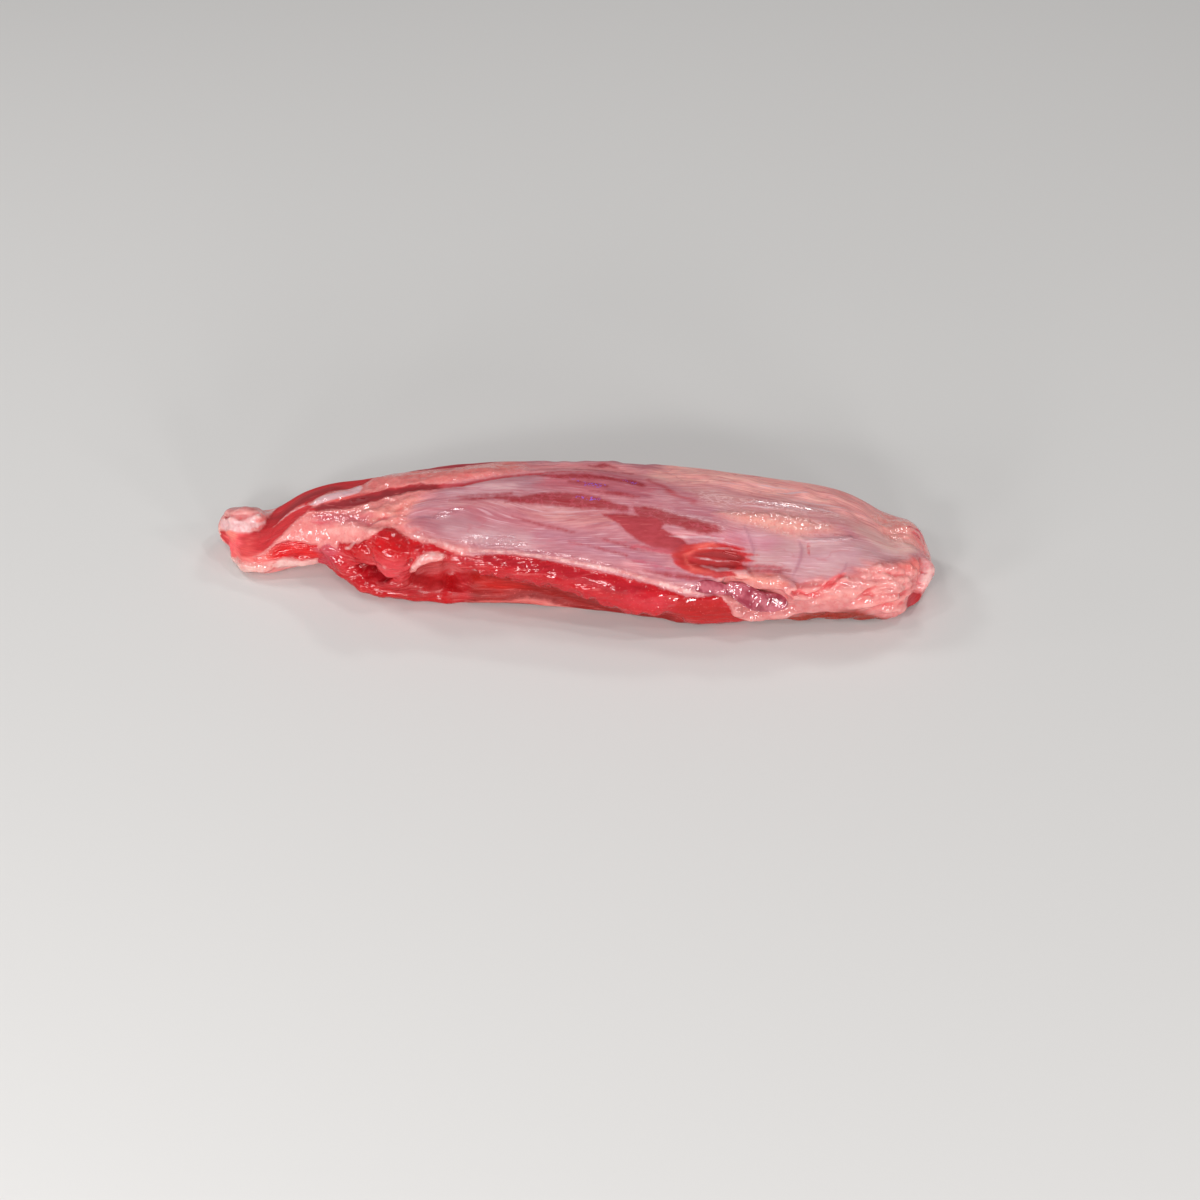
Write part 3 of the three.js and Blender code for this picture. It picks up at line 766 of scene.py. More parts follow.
# Soft washes of colour, laid one over the next: colour, soft edge in mm, and a shape
skinBase = (196, 126, 134)
skinWashes = {
    "leftFat": ((229, 139, 136), 6, [
        (-30, -70), (-30, 165), (40, 170), (90, 150), (150, 130), (154, 108), (140, 100), (122, 94),
        (108, 88), (102, 76), (99, 64), (100, 54), (106, 47), (116, 40), (130, 32), (120, -70),
    ]),
    "leftFatPink": ((204, 99, 109), 3, [(56, 58, 3), (68, 57, 4), (78, 56, 3)]),
    # a painted highlight on the glossy patch of the left fat
    "leftFatHighlight": ((240, 164, 158), 4, [(62, 46, 3), (74, 48, 3)]),
    "saddlePeach": ((226, 140, 132), 4, [(84, 62, 3), (92, 66, 5), (98, 74, 4)]),
    "upperFat": ((226, 128, 124), 4, [
        (74, 101), (76, 117), (90, 128), (112, 124), (150, 124), (154, 108), (138, 99), (120, 93),
        (108, 92), (98, 99), (88, 97), (81, 94),
    ]),
    "topMauve": ((232, 142, 144), 5, [
        (150, 124), (170, 119), (200, 120), (214, 114), (212, 107), (185, 107), (160, 107),
        (150, 106),
    ]),
    "greyUpperLeft": ((190, 134, 142), 5, [
        (112, 79), (114, 87), (126, 91), (138, 96), (152, 100), (166, 99), (169, 90), (164, 83),
        (150, 80), (135, 77), (120, 76),
    ]),
    # a painted highlight on the film at the upper left
    "upperLeftHighlight": ((220, 172, 174), 4, [(128, 85, 1), (138, 87, 2.5), (148, 87, 2)]),
    "mauveUpper": ((200, 104, 116), 4, [
        (160, 87), (166, 101), (180, 103), (200, 103), (216, 100), (222, 93), (216, 85), (200, 80),
        (182, 82),
    ]),
    "redThroughUpper": ((170, 84, 100), 3, [(196, 84, 1.5), (212, 82, 1.5)]),
    "paleUnderBruise": ((204, 136, 138), 2, [
        (120, 68, 1), (140, 67, 2), (165, 65, 1.8), (196, 64.5, 1.2),
    ]),
    "lavender": ((172, 107, 117), 8, [
        (104, 44), (104, 58), (120, 62), (140, 60), (160, 52), (185, 48), (205, 44), (218, 38),
        (228, 30), (236, 22), (225, 22), (200, 28), (170, 32), (140, 34), (118, 39),
    ]),
    "lavenderPale": ((192, 142, 147), 6, [(122, 46, 4), (138, 43, 5), (158, 40, 4)]),
    "rosyMiddle": ((186, 106, 116), 5, [(134, 55, 2), (152, 54, 3), (168, 50, 2)]),
    "tanLobe": ((204, 130, 131), 2, [
        (154, 62), (176, 62.5), (192, 63), (199, 60), (198, 54), (188, 51), (181, 52), (168, 55),
        (157, 58),
    ]),
    "mauveUnderLobe": ((177, 110, 125), 5, [
        (164, 44, 2), (184, 40, 3), (204, 36, 3), (220, 31, 2),
    ]),
    "purpleLow": ((170, 98, 118), 3, [(214, 24, 2), (228, 22, 2.5), (242, 20, 2)]),
    "palePinkLow": ((221, 160, 162), 2.5, [(206, 27, 1.5), (224, 19, 2), (236, 14, 2)]),
    "lipSoft": ((196, 122, 127), 1.8, [
        (118, 36, 0.3), (128, 32, 0.5), (140, 31.5, 0.5), (152, 31.5, 0.5), (168, 29.5, 0.5),
        (190, 26, 0.6), (210, 23, 0.8), (224, 18.5, 1.2), (236, 13.5, 1.4),
    ]),
    "wedge": ((220, 146, 150), 1.6, [
        (217, 51, 0.6), (230, 51, 2), (244, 50.5, 2.2), (258, 49, 1.2),
    ]),
    "aroundGash": ((196, 122, 136), 4, [(236, 48, 1), (250, 50, 2), (262, 52, 2)]),
    "greyMottle": ((220, 154, 150), 5, [
        (232, 95), (246, 92), (260, 89), (280, 93), (304, 89), (322, 84), (320, 77), (300, 77),
        (280, 79), (262, 79), (248, 76), (240, 84),
    ]),
    "mauveMiddle": ((186, 118, 130), 4, [(226, 68, 2), (240, 68, 3), (252, 66, 3)]),
    "upperRight": ((246, 170, 162), 6, [
        (216, 104), (228, 99), (246, 99), (262, 94), (290, 95), (312, 91), (330, 86), (350, 88),
        (350, 150), (300, 160), (226, 140), (214, 116),
    ]),
    "upperRightPink": ((240, 160, 154), 8, [
        (304, 96), (330, 80), (352, 74), (380, 80), (380, 150), (310, 140),
    ]),
    "rightLavender": ((192, 142, 145), 4, rightFilm),
    "taper": ((216, 166, 158), 5, [(316, 78, 3), (330, 74, 4), (344, 71, 4)]),
    "rightPale": ((202, 154, 160), 5, [(284, 36, 3), (300, 40, 3), (314, 48, 3)]),
    "redByLeaf": ((184, 64, 74), 1.4, [
        (214, 102, 0.6), (219, 95, 1.2), (224, 88, 1.4), (230, 82, 1), (238, 76, 0.3),
    ]),
    "betweenStripes": ((220, 86, 82), 1.6, [
        (54, 76, 0.8), (60, 80, 1.8), (67, 86, 2.2), (76, 92, 1),
    ]),
    "pinkBeforeVein": ((200, 132, 146), 5, [(262, 50, 3), (272, 48, 3)]),
    "peach": ((218, 151, 146), 3, [
        (246, 68), (254, 73), (262, 76), (270, 77.5), (290, 77), (303, 73), (306, 68), (303, 62),
        (292, 57.5), (282, 55), (274, 57), (265, 62), (254, 64),
    ]),
    "peachStreaks": ((240, 168, 156), 3, [(262, 68, 1), (276, 66, 1.5), (290, 66, 1)]),
    "frontBand": ((209, 128, 127), 1.6, fatShapes["frontBand"]),
    "foldPeach": ((232, 146, 134), 2.5, [(254, 24, 1), (262, 25, 2), (272, 23, 2), (282, 22, 1)]),
    "creaseRed": ((204, 52, 60), 1, [
        (287, 13, 0.3), (293, 11, 0.4), (299, 11, 0.5), (303, 16, 0.5), (308, 27, 0.4),
    ]),
    "creaseRedUpper": ((216, 76, 78), 0.8, [
        (292, 18, 0.2), (301, 19, 0.4), (305, 26, 0.4), (310, 31, 0.3),
    ]),
    "endVeins": ((212, 62, 66), 0.8, [
        (317, 12, 0.2), (321, 21, 0.3), (327, 24, 0.4), (331, 30, 0.4), (337, 34, 0.4),
        (344, 33, 0.3),
    ]),
    "endVeinsLow": ((216, 76, 78), 0.7, [
        (326, 17, 0.2), (331, 19, 0.3), (339, 21, 0.3), (350, 23, 0.2),
    ]),
    "flapRoot": ((222, 80, 80), 1.8, [
        (347, 56, 0.8), (350, 43, 1.2), (354, 36, 1), (355, 26, 0.6),
    ]),
    "creasePink": ((234, 98, 102), 3, [(286, 16, 1), (294, 13, 2), (301, 16, 1.5), (308, 26, 1)]),
    "endPink": ((240, 128, 122), 3, [(338, 46, 2), (347, 46, 2.5), (352, 40, 1.5)]),
    "cornerPink": ((228, 120, 120), 4, [(348, 100, 3), (355, 90, 3), (358, 78, 2)]),
    "bandPale": ((230, 150, 145), 4, [(300, 8, 2), (316, 16, 3), (330, 24, 3)]),
    "bandDeep": ((244, 148, 144), 5, [(320, 4, 2), (336, 8, 3), (348, 8, 2)]),
    "endPale": ((242, 158, 154), 4, [(320, 37, 2), (331, 37, 3), (343, 29, 3)]),
    "cutFlap": ((226, 150, 152), 3, [(356, 60, 3), (361, 42, 6), (358, 22, 3)]),
    # painted shade on the lower face at the right end, browned as a painted reflection from below
    "lowerFaceShade": ((144, 36, 18), 2.5, [
        (266, -20), (284, -13), (292, -10), (300, -6), (308, -3.5), (316, -3), (322, -8),
        (330, -15), (350, -15), (350, -70), (266, -70),
    ]),
    "curl": ((206, 124, 123), 2, [(4, 84, 3), (10, 96, 6), (18, 106, 5), (20, 118, 5)]),
    # a painted shadow along the crease under the curl
    "curlCreaseShadow": ((176, 70, 76), 0.6, [
        (6, 79, 0.2), (9, 77, 0.2), (14, 83, 0.2), (20, 90, 0.2), (23, 99, 0.2),
    ]),
    "whiteBand": ((228, 180, 181), 0.8, [
        (-9, 52), (-2, 60), (1, 73), (6, 79), (11, 77), (18, 88), (23, 97), (25.5, 128), (31, 144),
        (34, 138), (29, 128), (25, 104), (23, 86), (20, 63), (12, 55), (4, 48), (-2, 45),
    ]),
    "thinLeft": ((240, 166, 158), 2, [(-6, -30, 3), (-7, 10, 3), (-6, 46, 3)]),
    "frontRoll": ((222, 172, 166), 2, [(2, -32, 2), (10, -20, 3.4), (18, -8, 3), (27, 1, 2)]),
    "nextRoll": ((222, 174, 169), 2, [(32, 2, 1.6), (38, -1, 3), (46, -6, 3), (54, -5, 1.6)]),
    # painted shade in the gap between the two fat rolls
    "shadeBetweenRolls": ((206, 96, 92), 1, [(31.5, 6, 0.4), (32, -2, 0.5), (31, -10, 0.6)]),
    "membrane": ((206, 96, 90), 3, [
        (128, -34), (129, -17), (142, -15), (156, -14), (170, -19), (186, -28), (184, -60),
        (132, -60),
    ]),
    "back": ((199, 134, 144), 12, [(90, 150), (340, 150), (340, 234), (60, 234)]),
    "sole": ((186, 108, 118), 10, [(40, 228), (340, 228), (340, 275), (40, 275)]),
    "soleFront": ((190, 104, 110), 8, [(40, -95), (340, -95), (340, -55), (40, -55)]),
}
redBase = (190, 22, 32)
redWashes = {
    "shoulder": ((198, 18, 24), 4, [
        (66, 30), (78, 36), (90, 50), (98, 45), (106, 38), (104, 28), (92, 20), (76, 20),
    ]),
    "tongue": ((208, 50, 58), 4, [
        (83, 26), (82, 10), (86, 2), (95, 1), (101, 6), (105, 22), (96, 28),
    ]),
    "hollow": ((184, 54, 54), 6, [
        (100, -2), (103, 8), (107, 15), (111, 20), (120, 20), (125, 15), (126, 8), (125, -2),
        (120, -9), (110, -10), (102, -8),
    ]),
    # painted shade in the cavity beside the tongue
    "cavityShade": ((136, 18, 26), 2.5, [(74, 12, 1), (78, 4, 2), (84, -2, 2), (90, -6, 1)]),
    "lowerLobe": ((186, 8, 14), 3, [(64, -14, 2), (76, -18, 3), (96, -21, 3), (124, -21, 2)]),
    "lobeDark": ((166, 32, 38), 4, [(96, -10, 2), (104, -16, 2)]),
    "bandTop": ((176, 28, 40), 3, [(124, 25, 1), (150, 24, 2.5), (180, 18, 2.5), (212, 12, 3)]),
    "bandEdge": ((180, 20, 32), 2.5, [
        (136, 13, 1), (160, 9, 1.5), (186, 3, 1.5), (208, -7, 2), (224, -8, 2),
    ]),
    # painted shade on the downward-facing side under the ledge
    "side": ((146, 7, 3), 4, [
        (129, 11), (150, 7), (176, 1), (196, -7), (212, -14), (232, -14), (250, -22), (250, -60),
        (130, -60),
    ]),
    "sideOrange": ((196, 16, 6), 6, [(134, -8, 3), (146, -8, 4), (154, -6, 2)]),
    "redEnd": ((178, 8, 8), 3, [
        (228, 8), (240, 5), (252, 6), (257, -4), (262, -14), (240, -16), (230, -8),
    ]),
    "bandMarbled": ((202, 40, 52), 4, [(206, 6, 2), (222, 4, 3), (230, 2, 1)]),
    "neck": ((190, 44, 62), 3, [(54, -10, 2), (58, 4, 3), (60, 18, 3)]),
    "knot": ((206, 86, 98), 3, [(55, 22, 2), (60, 26, 2.4), (65, 22, 1.5)]),
    "neckLobe": ((204, 36, 46), 3, [(66, 14, 2), (70, 2, 2.5)]),
    "lowPatch": ((216, 14, 18), 4, [(26, 10, 3), (38, 20, 4), (48, 12, 4)]),
    "lowPatchPale": ((238, 118, 112), 3, [(20, 6, 1.5), (27, 14, 2), (31, 20, 1)]),
    "face": ((244, 88, 92), 4, [(2, -20, 5), (6, 10, 7), (8, 40, 8)]),
    "faceTop": ((248, 132, 116), 3, [(2, 44, 2), (10, 49, 2)]),
    "faceLow": ((240, 110, 106), 3, [(8, -6, 1), (18, 4, 2), (26, 10, 2)]),
    "stripe": ((200, 27, 35), 2.5, [
        (23, 24), (24, 48), (25, 90), (28, 150), (80, 140), (76, 118), (66, 101), (54, 92),
        (48, 78), (40, 56), (31, 34),
    ]),
    "stripeDark": ((152, 16, 26), 4, [(30, 96, 3), (44, 98, 4), (60, 104, 3)]),
    "stripeFoot": ((216, 62, 62), 3, [(16, 14, 1.5), (20, 28, 2.5), (22, 44, 2)]),
    "stripeTwo": ((136, 2, 16), 1.5, [
        (54, 71, 2), (70, 80, 3), (86, 91, 3), (98, 94, 2.5), (112, 90, 2),
    ]),
    "stripeTwoEnd": ((190, 66, 76), 2, [(116, 89, 1.5), (140, 97, 1.5), (186, 104, 1.5)]),
    "topStripe": ((178, 22, 42), 2, [(82, 133, 4), (110, 125, 6), (147, 129, 4)]),
    "leaf": ((168, 44, 54), 2, [
        (188, 68), (224, 66), (238, 46), (230, 34), (214, 40), (200, 50), (190, 58),
    ]),
    "tails": ((188, 78, 92), 2, [(200, 41, 1.5), (228, 38, 1.5)]),
    "lowTails": ((180, 84, 104), 2, [(206, 32, 1.5), (228, 27, 1.5)]),
    "gashRim": ((186, 28, 28), 2, [
        (246, 45, 1), (236, 43, 2), (230, 37, 2.5), (233, 29, 2.5), (244, 23, 1.5), (254, 24, 1),
    ]),
    "gashIn": ((168, 10, 16), 2, [
        (242, 42), (239, 36), (241, 29), (250, 26), (260, 30), (262, 38), (254, 44),
    ]),
    "gashPale": ((218, 82, 74), 1.8, [
        (248, 44.5, 1), (240, 42, 1.6), (235, 36, 1.6), (237, 29, 1.4), (246, 25, 1),
    ]),
    "gashLow": ((188, 52, 56), 1.5, [(242, 23.5, 1), (252, 23.5, 1)]),
    "shortVein": ((190, 92, 98), 1, [(292, 52, 1), (292, 42, 1)]),
    "cornerTop": ((232, 74, 94), 3, [(342, 108, 3), (352, 118, 4)]),
    "corners": ((186, 56, 64), 3, [(352, 12, 3), (350, -16, 4), (334, -22, 4)]),
    "flecks": ((224, 96, 104), 2, [(48, 54, 2), (62, 53, 2)]),
    "backMeat": ((176, 52, 64), 8, [(40, 140), (320, 140), (320, 270), (40, 270)]),
}
strays = {  # how far the painting strays: mm or degrees, and its waves' size, length and seed
    "grain": (0.22, 24, 3, 11),
    "along": (5, 3, 8, 12),
    "turn": (2.5, 8, 2, 13),
}
grainRadius = 25  # the grain is laid out on a round bar of this radius, in mm
creaseEvening = {"times": 3, "share": 0.5}


def layWashes(skin, base, washes):
    colours = np.tile(rgb(*base), (len(skin.points), 1))
    for colour, soft, shape in washes.values():
        pick, inside = skin.within(shape, soft)
        share = eased((inside + soft) / (2 * soft))[:, None]  # half way at the wash's edge
        colours[pick] += (np.array(rgb(*colour)) - colours[pick]) * share
    return colours


def setAttribute(mesh, name, kind, values):
    field = {"FLOAT": "value", "FLOAT_VECTOR": "vector", "FLOAT_COLOR": "color"}[kind]
    flat = values.astype(np.float32).ravel()
    mesh.attributes.new(name, kind, "POINT").data.foreach_set(field, flat)


def creases(mesh):
    # how far each vertex lies below its neighbours, in mm, evened out over a few rings
    pairs = np.empty(len(mesh.edges) * 2, np.int64)
    mesh.edges.foreach_get("vertices", pairs)
    a, b = pairs.reshape(-1, 2).T
    count = np.bincount(np.concatenate([a, b]), minlength=len(mesh.vertices))

    def around(values):
        total = np.zeros_like(values)
        np.add.at(total, a, values[b])
        np.add.at(total, b, values[a])
        return (total.T / count).T

    points = pointsOf(mesh)
    depth = ((around(points) - points) * normalsOf(mesh)).sum(1) / mm
    share = creaseEvening["share"]
    for ring in range(creaseEvening["times"]):
        depth = around(depth) * share + depth * (1 - share)
    return depth


def paintMeat(piece):
    skin = Skin(piece)
    mesh = piece.data

    def stray(name):
        reach, size, lengthwise, seed = strays[name]
        return skin.wave(size, lengthwise, seed) * reach

    tissues = {"red": redShapes.values(), "flesh": fleshShapes.values(), "fat": fatShapes.values()}
    cuts = {"red": redCuts.values(), "flesh": [*redCuts.values(), *smoothCuts.values()]}
    for name, shapes in {**tissues, **marks}.items():
        setAttribute(mesh, name, "FLOAT", skin.field(shapes, cuts.get(name, ())))
    theta = np.radians(skin.turn) + stray("grain")
    grain = np.stack([skin.along, grainRadius * np.cos(theta), grainRadius * np.sin(theta)], 1)
    setAttribute(mesh, "grain", "FLOAT_VECTOR", grain)
    setAttribute(mesh, "crease", "FLOAT", creases(mesh))
    skin.along = skin.along + stray("along")
    skin.turn = skin.turn + stray("turn")
    setAttribute(mesh, "skinShade", "FLOAT_COLOR", layWashes(skin, skinBase, skinWashes))
    setAttribute(mesh, "redShade", "FLOAT_COLOR", layWashes(skin, redBase, redWashes))


bumpStrength = 0.8


class Wire:
    # one output of a node; sums and products of wires add Math nodes
    def __init__(self, tree, socket):
        self.tree = tree
        self.socket = socket

    def node(self, kind, settings, inputs, output=0):
        new = self.tree.nodes.new("ShaderNode" + kind)
        for name, value in settings.items():
            setattr(new, name, value)
        for name, value in inputs.items():
            if isinstance(value, Wire):
                self.tree.links.new(value.socket, new.inputs[name])
            else:
                new.inputs[name].default_value = value
        return Wire(self.tree, new.outputs[output])

    def maths(self, operation, *values):
        return self.node("Math", {"operation": operation}, dict(enumerate(values)))

    def __add__(self, other):
        return self.maths("ADD", self, other)

    __radd__ = __add__

    def __sub__(self, other):
        return self.maths("SUBTRACT", self, other)

    def __rsub__(self, other):
        return self.maths("SUBTRACT", other, self)

    def __mul__(self, other):
        return self.maths("MULTIPLY", self, other)

    __rmul__ = __mul__

    def orMore(self, other):
        return self.maths("MAXIMUM", self, other)

    def offMiddle(self):
        # how far a pattern is from its middle value: 0 along thin winding lines
        return self.maths("ABSOLUTE", self - 0.5)

    def ramp(self, low, high, start=0.0, end=1.0):
        ends = {"From Min": low, "From Max": high, "To Min": start, "To Max": end}
        return self.node("MapRange", {"interpolation_type": "SMOOTHSTEP"}, {"Value": self, **ends})

    def attribute(self, name, output="Fac"):
        return self.node("Attribute", {"attribute_name": name}, {}, output)

    def stretched(self, lengthwise, across):
        # the place that a pattern reads, so that its features come out this long and wide
        scale = (1 / lengthwise, 1 / across, 1 / across)
        return self.node("VectorMath", {"operation": "MULTIPLY"}, {0: self, 1: scale})

    def noise(self, scale, detail, rough):
        inputs = {"Vector": self, "Scale": scale, "Detail": detail, "Roughness": rough}
        return self.node("TexNoise", {"noise_dimensions": "3D"}, inputs)

    def blend(self, kind, factor, first, second):
        settings = {"data_type": "RGBA", "blend_type": kind}
        return self.node("Mix", settings, {0: factor, 6: first, 7: second}, 2)

    def mix(self, first, second):
        # this wire is the factor
        return self.blend("MIX", self, first, second)

    def times(self, colour):
        return self.blend("MULTIPLY", 1.0, self, colour)

    def bump(self):
        # this wire is a height in mm
        return self.node("Bump", {}, {"Height": self, "Distance": 1 * mm, "Strength": bumpStrength})

    def feed(self, shader, socket):
        self.tree.links.new(self.socket, shader.inputs[socket])


def newMaterial(name, shaderValues):
    material = bpy.data.materials.new(name)
    material.use_nodes = True
    tree = material.node_tree
    shader = tree.nodes["Principled BSDF"]
    for socket, value in shaderValues.items():
        shader.inputs[socket].default_value = value
    start = tree.nodes.new("ShaderNodeTexCoord")
    return material, shader, Wire(tree, start.outputs["Object"])


# Shares of light kept by the darker and lighter streaks of each tissue: red, green, blue
streaks = {
    "film": ((0.84, 0.69, 0.74, 1), (1.09, 1.2, 1.18, 1)),
    "strand": ((0.94, 0.84, 0.87, 1), (1.04, 1.12, 1.1, 1)),
    "fat": ((0.97, 0.84, 0.84, 1), (1.04, 1.12, 1.1, 1)),
    "red": ((0.88, 0.76, 0.78, 1), (1.06, 1.3, 1.28, 1)),
}
# Patterns drawn out along the grain: length and width of their features in mm, detail, roughness
grainPatterns = {
    "fine": (13, 0.65, 4, 0.65),
    "strand": (20, 5, 3, 0.55),
    "fibre": (6, 1.2, 4, 0.6),
    "flush": (28, 2.2, 3, 0.6),
    "veinlets": (34, 6, 3, 0.5),
    "threads": (16, 0.5, 2, 0.5),
    "flecks": (7, 1.3, 3, 0.6),
    "marbling": (9, 0.8, 2, 0.5),
    "lace": (6, 2.8, 3, 0.6),
    "ripple": (12, 1.1, 1, 0.5),
}
# Patterns the same in all directions: features per mm, detail, roughness
roundPatterns = {
    "mottle": (0.3, 3, 0.55),
    "grit": (1.0, 3, 0.6),
    "folds": (0.17, 4, 0.6),
    "dimples": (0.3, 1, 0.5),
}
ragged = {"mottle": 2.4, "fine": 1.6}  # how far these patterns fray a tissue's edge, in mm
# The soft edge of each tissue and mark in mm, and its share of that fraying
edges = {
    "flesh": (1, 1), "red": (0.8, 0.9), "fat": (2.4, 1.3), "fatGloss": (3, 1), "wet": (1.2, 1),
    "mottled": (2.5, 1.5), "bruise": (1.2, 1), "glint": (0.4, 0.4), "vein": (0.9, 0.15),
    "cream": (0.8, 0.5), "silverAndGlint": (0.5, 0.35), "dark": (0.6, 0.2),
}
cover = {"mottled": 0.5, "vein": 0.6, "cream": 0.9, "silverAndGlint": 0.8, "dark": 0.9}
# Where the film is calm, how much of its streaks and flushes is lost, and its tone between them
calmFilm = {"edge": (-4, 3), "streaks": 0.6, "flushes": 0.3, "tone": 0.34}
dryMeat = {"edge": (-6, 2), "gloss": 0.85}  # and how much gloss is lost where the meat is dry
meatColours = {
    "thread": (224, 184, 192),
    "flush": (186, 88, 100),
    # pale specks, partly painted glints on the wet flesh
    "redSpeckAndGlint": (240, 118, 112),
    # painted iridescent glints
    "violetGlint": (142, 92, 206),
    # red of the fat's folds, and of its creases partly as painted shade
    "fatCrease": (216, 70, 74),
    # a painted highlight on the fat's ridges
    "fatRidgeHighlight": (248, 190, 182),
    # painted shade in the red meat's creases
    "redCreaseShade": (128, 14, 20),
    "marbling": (232, 122, 120),
    "bruise": (152, 6, 24),
    "bruiseLace": (178, 52, 68),
    "vein": (156, 90, 110),
    "cream": (238, 186, 182),
    "creamPink": (226, 148, 146),
    # pale silverskin streaks, and one painted glint line
    "silverAndGlint": (220, 184, 190),
    # the dark mark: dark red slits partly painted shade, and painted shade in the cavity and curl
    # hole
    "dark": (168, 20, 26),
    "deep": (126, 6, 12),
    "greyFleck": (228, 190, 192),
    "greyDeep": (184, 118, 120),
}
meatShader = {
    "Subsurface Weight": 0.2,
    "Subsurface Radius": (1.0, 0.3, 0.2),
    "Subsurface Scale": 2 * mm,
    "Specular IOR Level": 0.55,
}
# Roughness of the dry film, what wetness takes off it, and what dry red meat and grit add
meatRoughness = {"dry": 0.62, "wet": 0.5, "red": 0.06, "grit": 0.1}
# Height in mm of the dry film's streaks, of the ripples, and of the dimples
streakHeight = 0.1
rippleHeight = {"flesh": 0.8, "body": 0.1}
dimpleHeight = {"body": 0.6, "wet": 0.35, "all": 0.05, "flesh": 0.7}


def meatMaterial():
    material, shader, place = newMaterial("rawMeat", meatShader)
    hue = {name: rgb(*seen) for name, seen in meatColours.items()}
    spot = place.stretched(mm, mm)
    grain = place.attribute("grain", "Vector")

    def drawn(name):
        length, width, detail, rough = grainPatterns[name]
        return grain.stretched(length, width).noise(1, detail, rough)

    def dotted(name):
        return spot.noise(*roundPatterns[name])

    fine, strand, fibre = drawn("fine"), drawn("strand"), drawn("fibre")
    mottle, grit = dotted("mottle"), dotted("grit")
    fray = (mottle - 0.5) * ragged["mottle"] + (fine - 0.5) * ragged["fine"]

    def mask(name, edge=None):
        soft, share = edges[edge or name]
        return (place.attribute(name) + fray * share).ramp(-soft, soft)

    def marked(colour, name, over):
        return (mask(name) * cover[name]).mix(colour, over)

    def streaked(colour, factor, name):
        return colour.times(factor.mix(*streaks[name]))

    # the silverskin: streaks, flushes of red, veinlets, pale threads and grey flecks
    shade = place.attribute("skinShade", "Color")
    calm = place.attribute("calm").ramp(*calmFilm["edge"])
    streakiness = fine.ramp(0.3, 0.7) * (1 - calm * calmFilm["streaks"]) + calm * calmFilm["tone"]
    film = streaked(shade, streakiness, "film")
    film = streaked(film, strand.ramp(0.34, 0.66), "strand")
    flush = drawn("flush").ramp(0.52, 0.72) * (0.5 - calm * calmFilm["flushes"])
    film = flush.mix(film, hue["flush"])
    film = drawn("veinlets").offMiddle().ramp(0.0, 0.02, 0.28, 0.0).mix(film, hue["flush"])
    film = (drawn("threads").ramp(0.58, 0.7) * 0.4).mix(film, hue["thread"])
    flecks = drawn("flecks").offMiddle().ramp(0.0, 0.07).mix(hue["greyFleck"], hue["greyDeep"])
    film = marked(film, "mottled", flecks)

    # the fat: mottled, red in its folds, its creases red partly as painted shade, its ridges paler
    # as a painted highlight
    crease = place.attribute("crease")
    fat = streaked(shade, mottle.ramp(0.32, 0.68), "fat")
    fat = dotted("folds").offMiddle().ramp(0.0, 0.03, 0.2, 0.0).mix(fat, hue["fatCrease"])
    # red in the creases: partly the fat's own colour, partly painted shade
    fat = (crease.ramp(0.03, 0.13) * 0.7).mix(fat, hue["fatCrease"])
    # paler on the ridges: a painted highlight
    fat = (crease * -1).ramp(0.03, 0.16, 0.0, 0.4).mix(fat, hue["fatRidgeHighlight"])

    # the red meat: fibres, marbling, pale specks partly painted as glints, and painted shade
    # darkening its creases
    flesh = mask("flesh")
    red = streaked(place.attribute("redShade", "Color"), fibre.ramp(0.3, 0.7), "red")
    red = (drawn("marbling").ramp(0.6, 0.72) * 0.3).mix(red, hue["marbling"])
    # pale specks, partly painted glints on the wet flesh
    red = (grit.ramp(0.6, 0.7) * flesh * 0.3).mix(red, hue["redSpeckAndGlint"])
    # darker in the creases: painted shade
    red = crease.ramp(0.04, 0.2, 0.0, 0.6).mix(red, hue["redCreaseShade"])

    # one over the other, with the bruise, veins and other marks
    redMask = mask("red")
    lace = drawn("lace").offMiddle().ramp(0.0, 0.05, 0.2, 1.0)
    bruise = lace.mix(hue["bruiseLace"], hue["bruise"])
    cream = mottle.ramp(0.36, 0.62).mix(hue["creamPink"], hue["cream"])
    colour = mask("fat").mix(film, fat)
    colour = (mask("bruise") * fine.ramp(0.25, 0.6, 1.0, 0.82)).mix(colour, bruise)
    # violet specks: painted iridescent glints, a painted reflection
    colour = (mask("glint") * grit.ramp(0.5, 0.6)).mix(colour, hue["violetGlint"])
    colour = marked(colour, "vein", hue["vein"])
    colour = redMask.mix(colour, red)
    colour = marked(colour, "cream", cream)
    # pale silverskin streaks and fibres, with one painted glint along a film wrinkle
    colour = marked(colour, "silverAndGlint", hue["silverAndGlint"])
    # dark red slits partly as painted shade, and painted shade in the cavity and the curl's hole
    colour = marked(colour, "dark", fibre.mix(hue["dark"], hue["deep"]))
    colour.feed(shader, "Base Color")

    # relief and gloss: fat and flesh are wet, and so are a few places on the film
    body = (mask("fat", "fatGloss") * (1 - redMask)).orMore(flesh)
    wet = body.orMore(mask("wet") * fine.ramp(0.32, 0.48))
    wet = wet * (1 - place.attribute("dry").ramp(*dryMeat["edge"]) * dryMeat["gloss"])
    rippled = drawn("ripple") * (flesh * rippleHeight["flesh"] + body * rippleHeight["body"])
    depth = body * dimpleHeight["body"] + wet * dimpleHeight["wet"] + dimpleHeight["all"]
    dimples = dotted("dimples") * (depth - flesh * dimpleHeight["flesh"])
    height = fine * (1 - wet) * streakHeight + rippled + dimples
    height.bump().feed(shader, "Normal")
    rough = meatRoughness["dry"] - wet * meatRoughness["wet"]
    rough = rough + redMask * (1 - wet) * meatRoughness["red"]
    rough = rough + (grit - 0.5) * meatRoughness["grit"]
    rough.feed(shader, "Roughness")
    return material


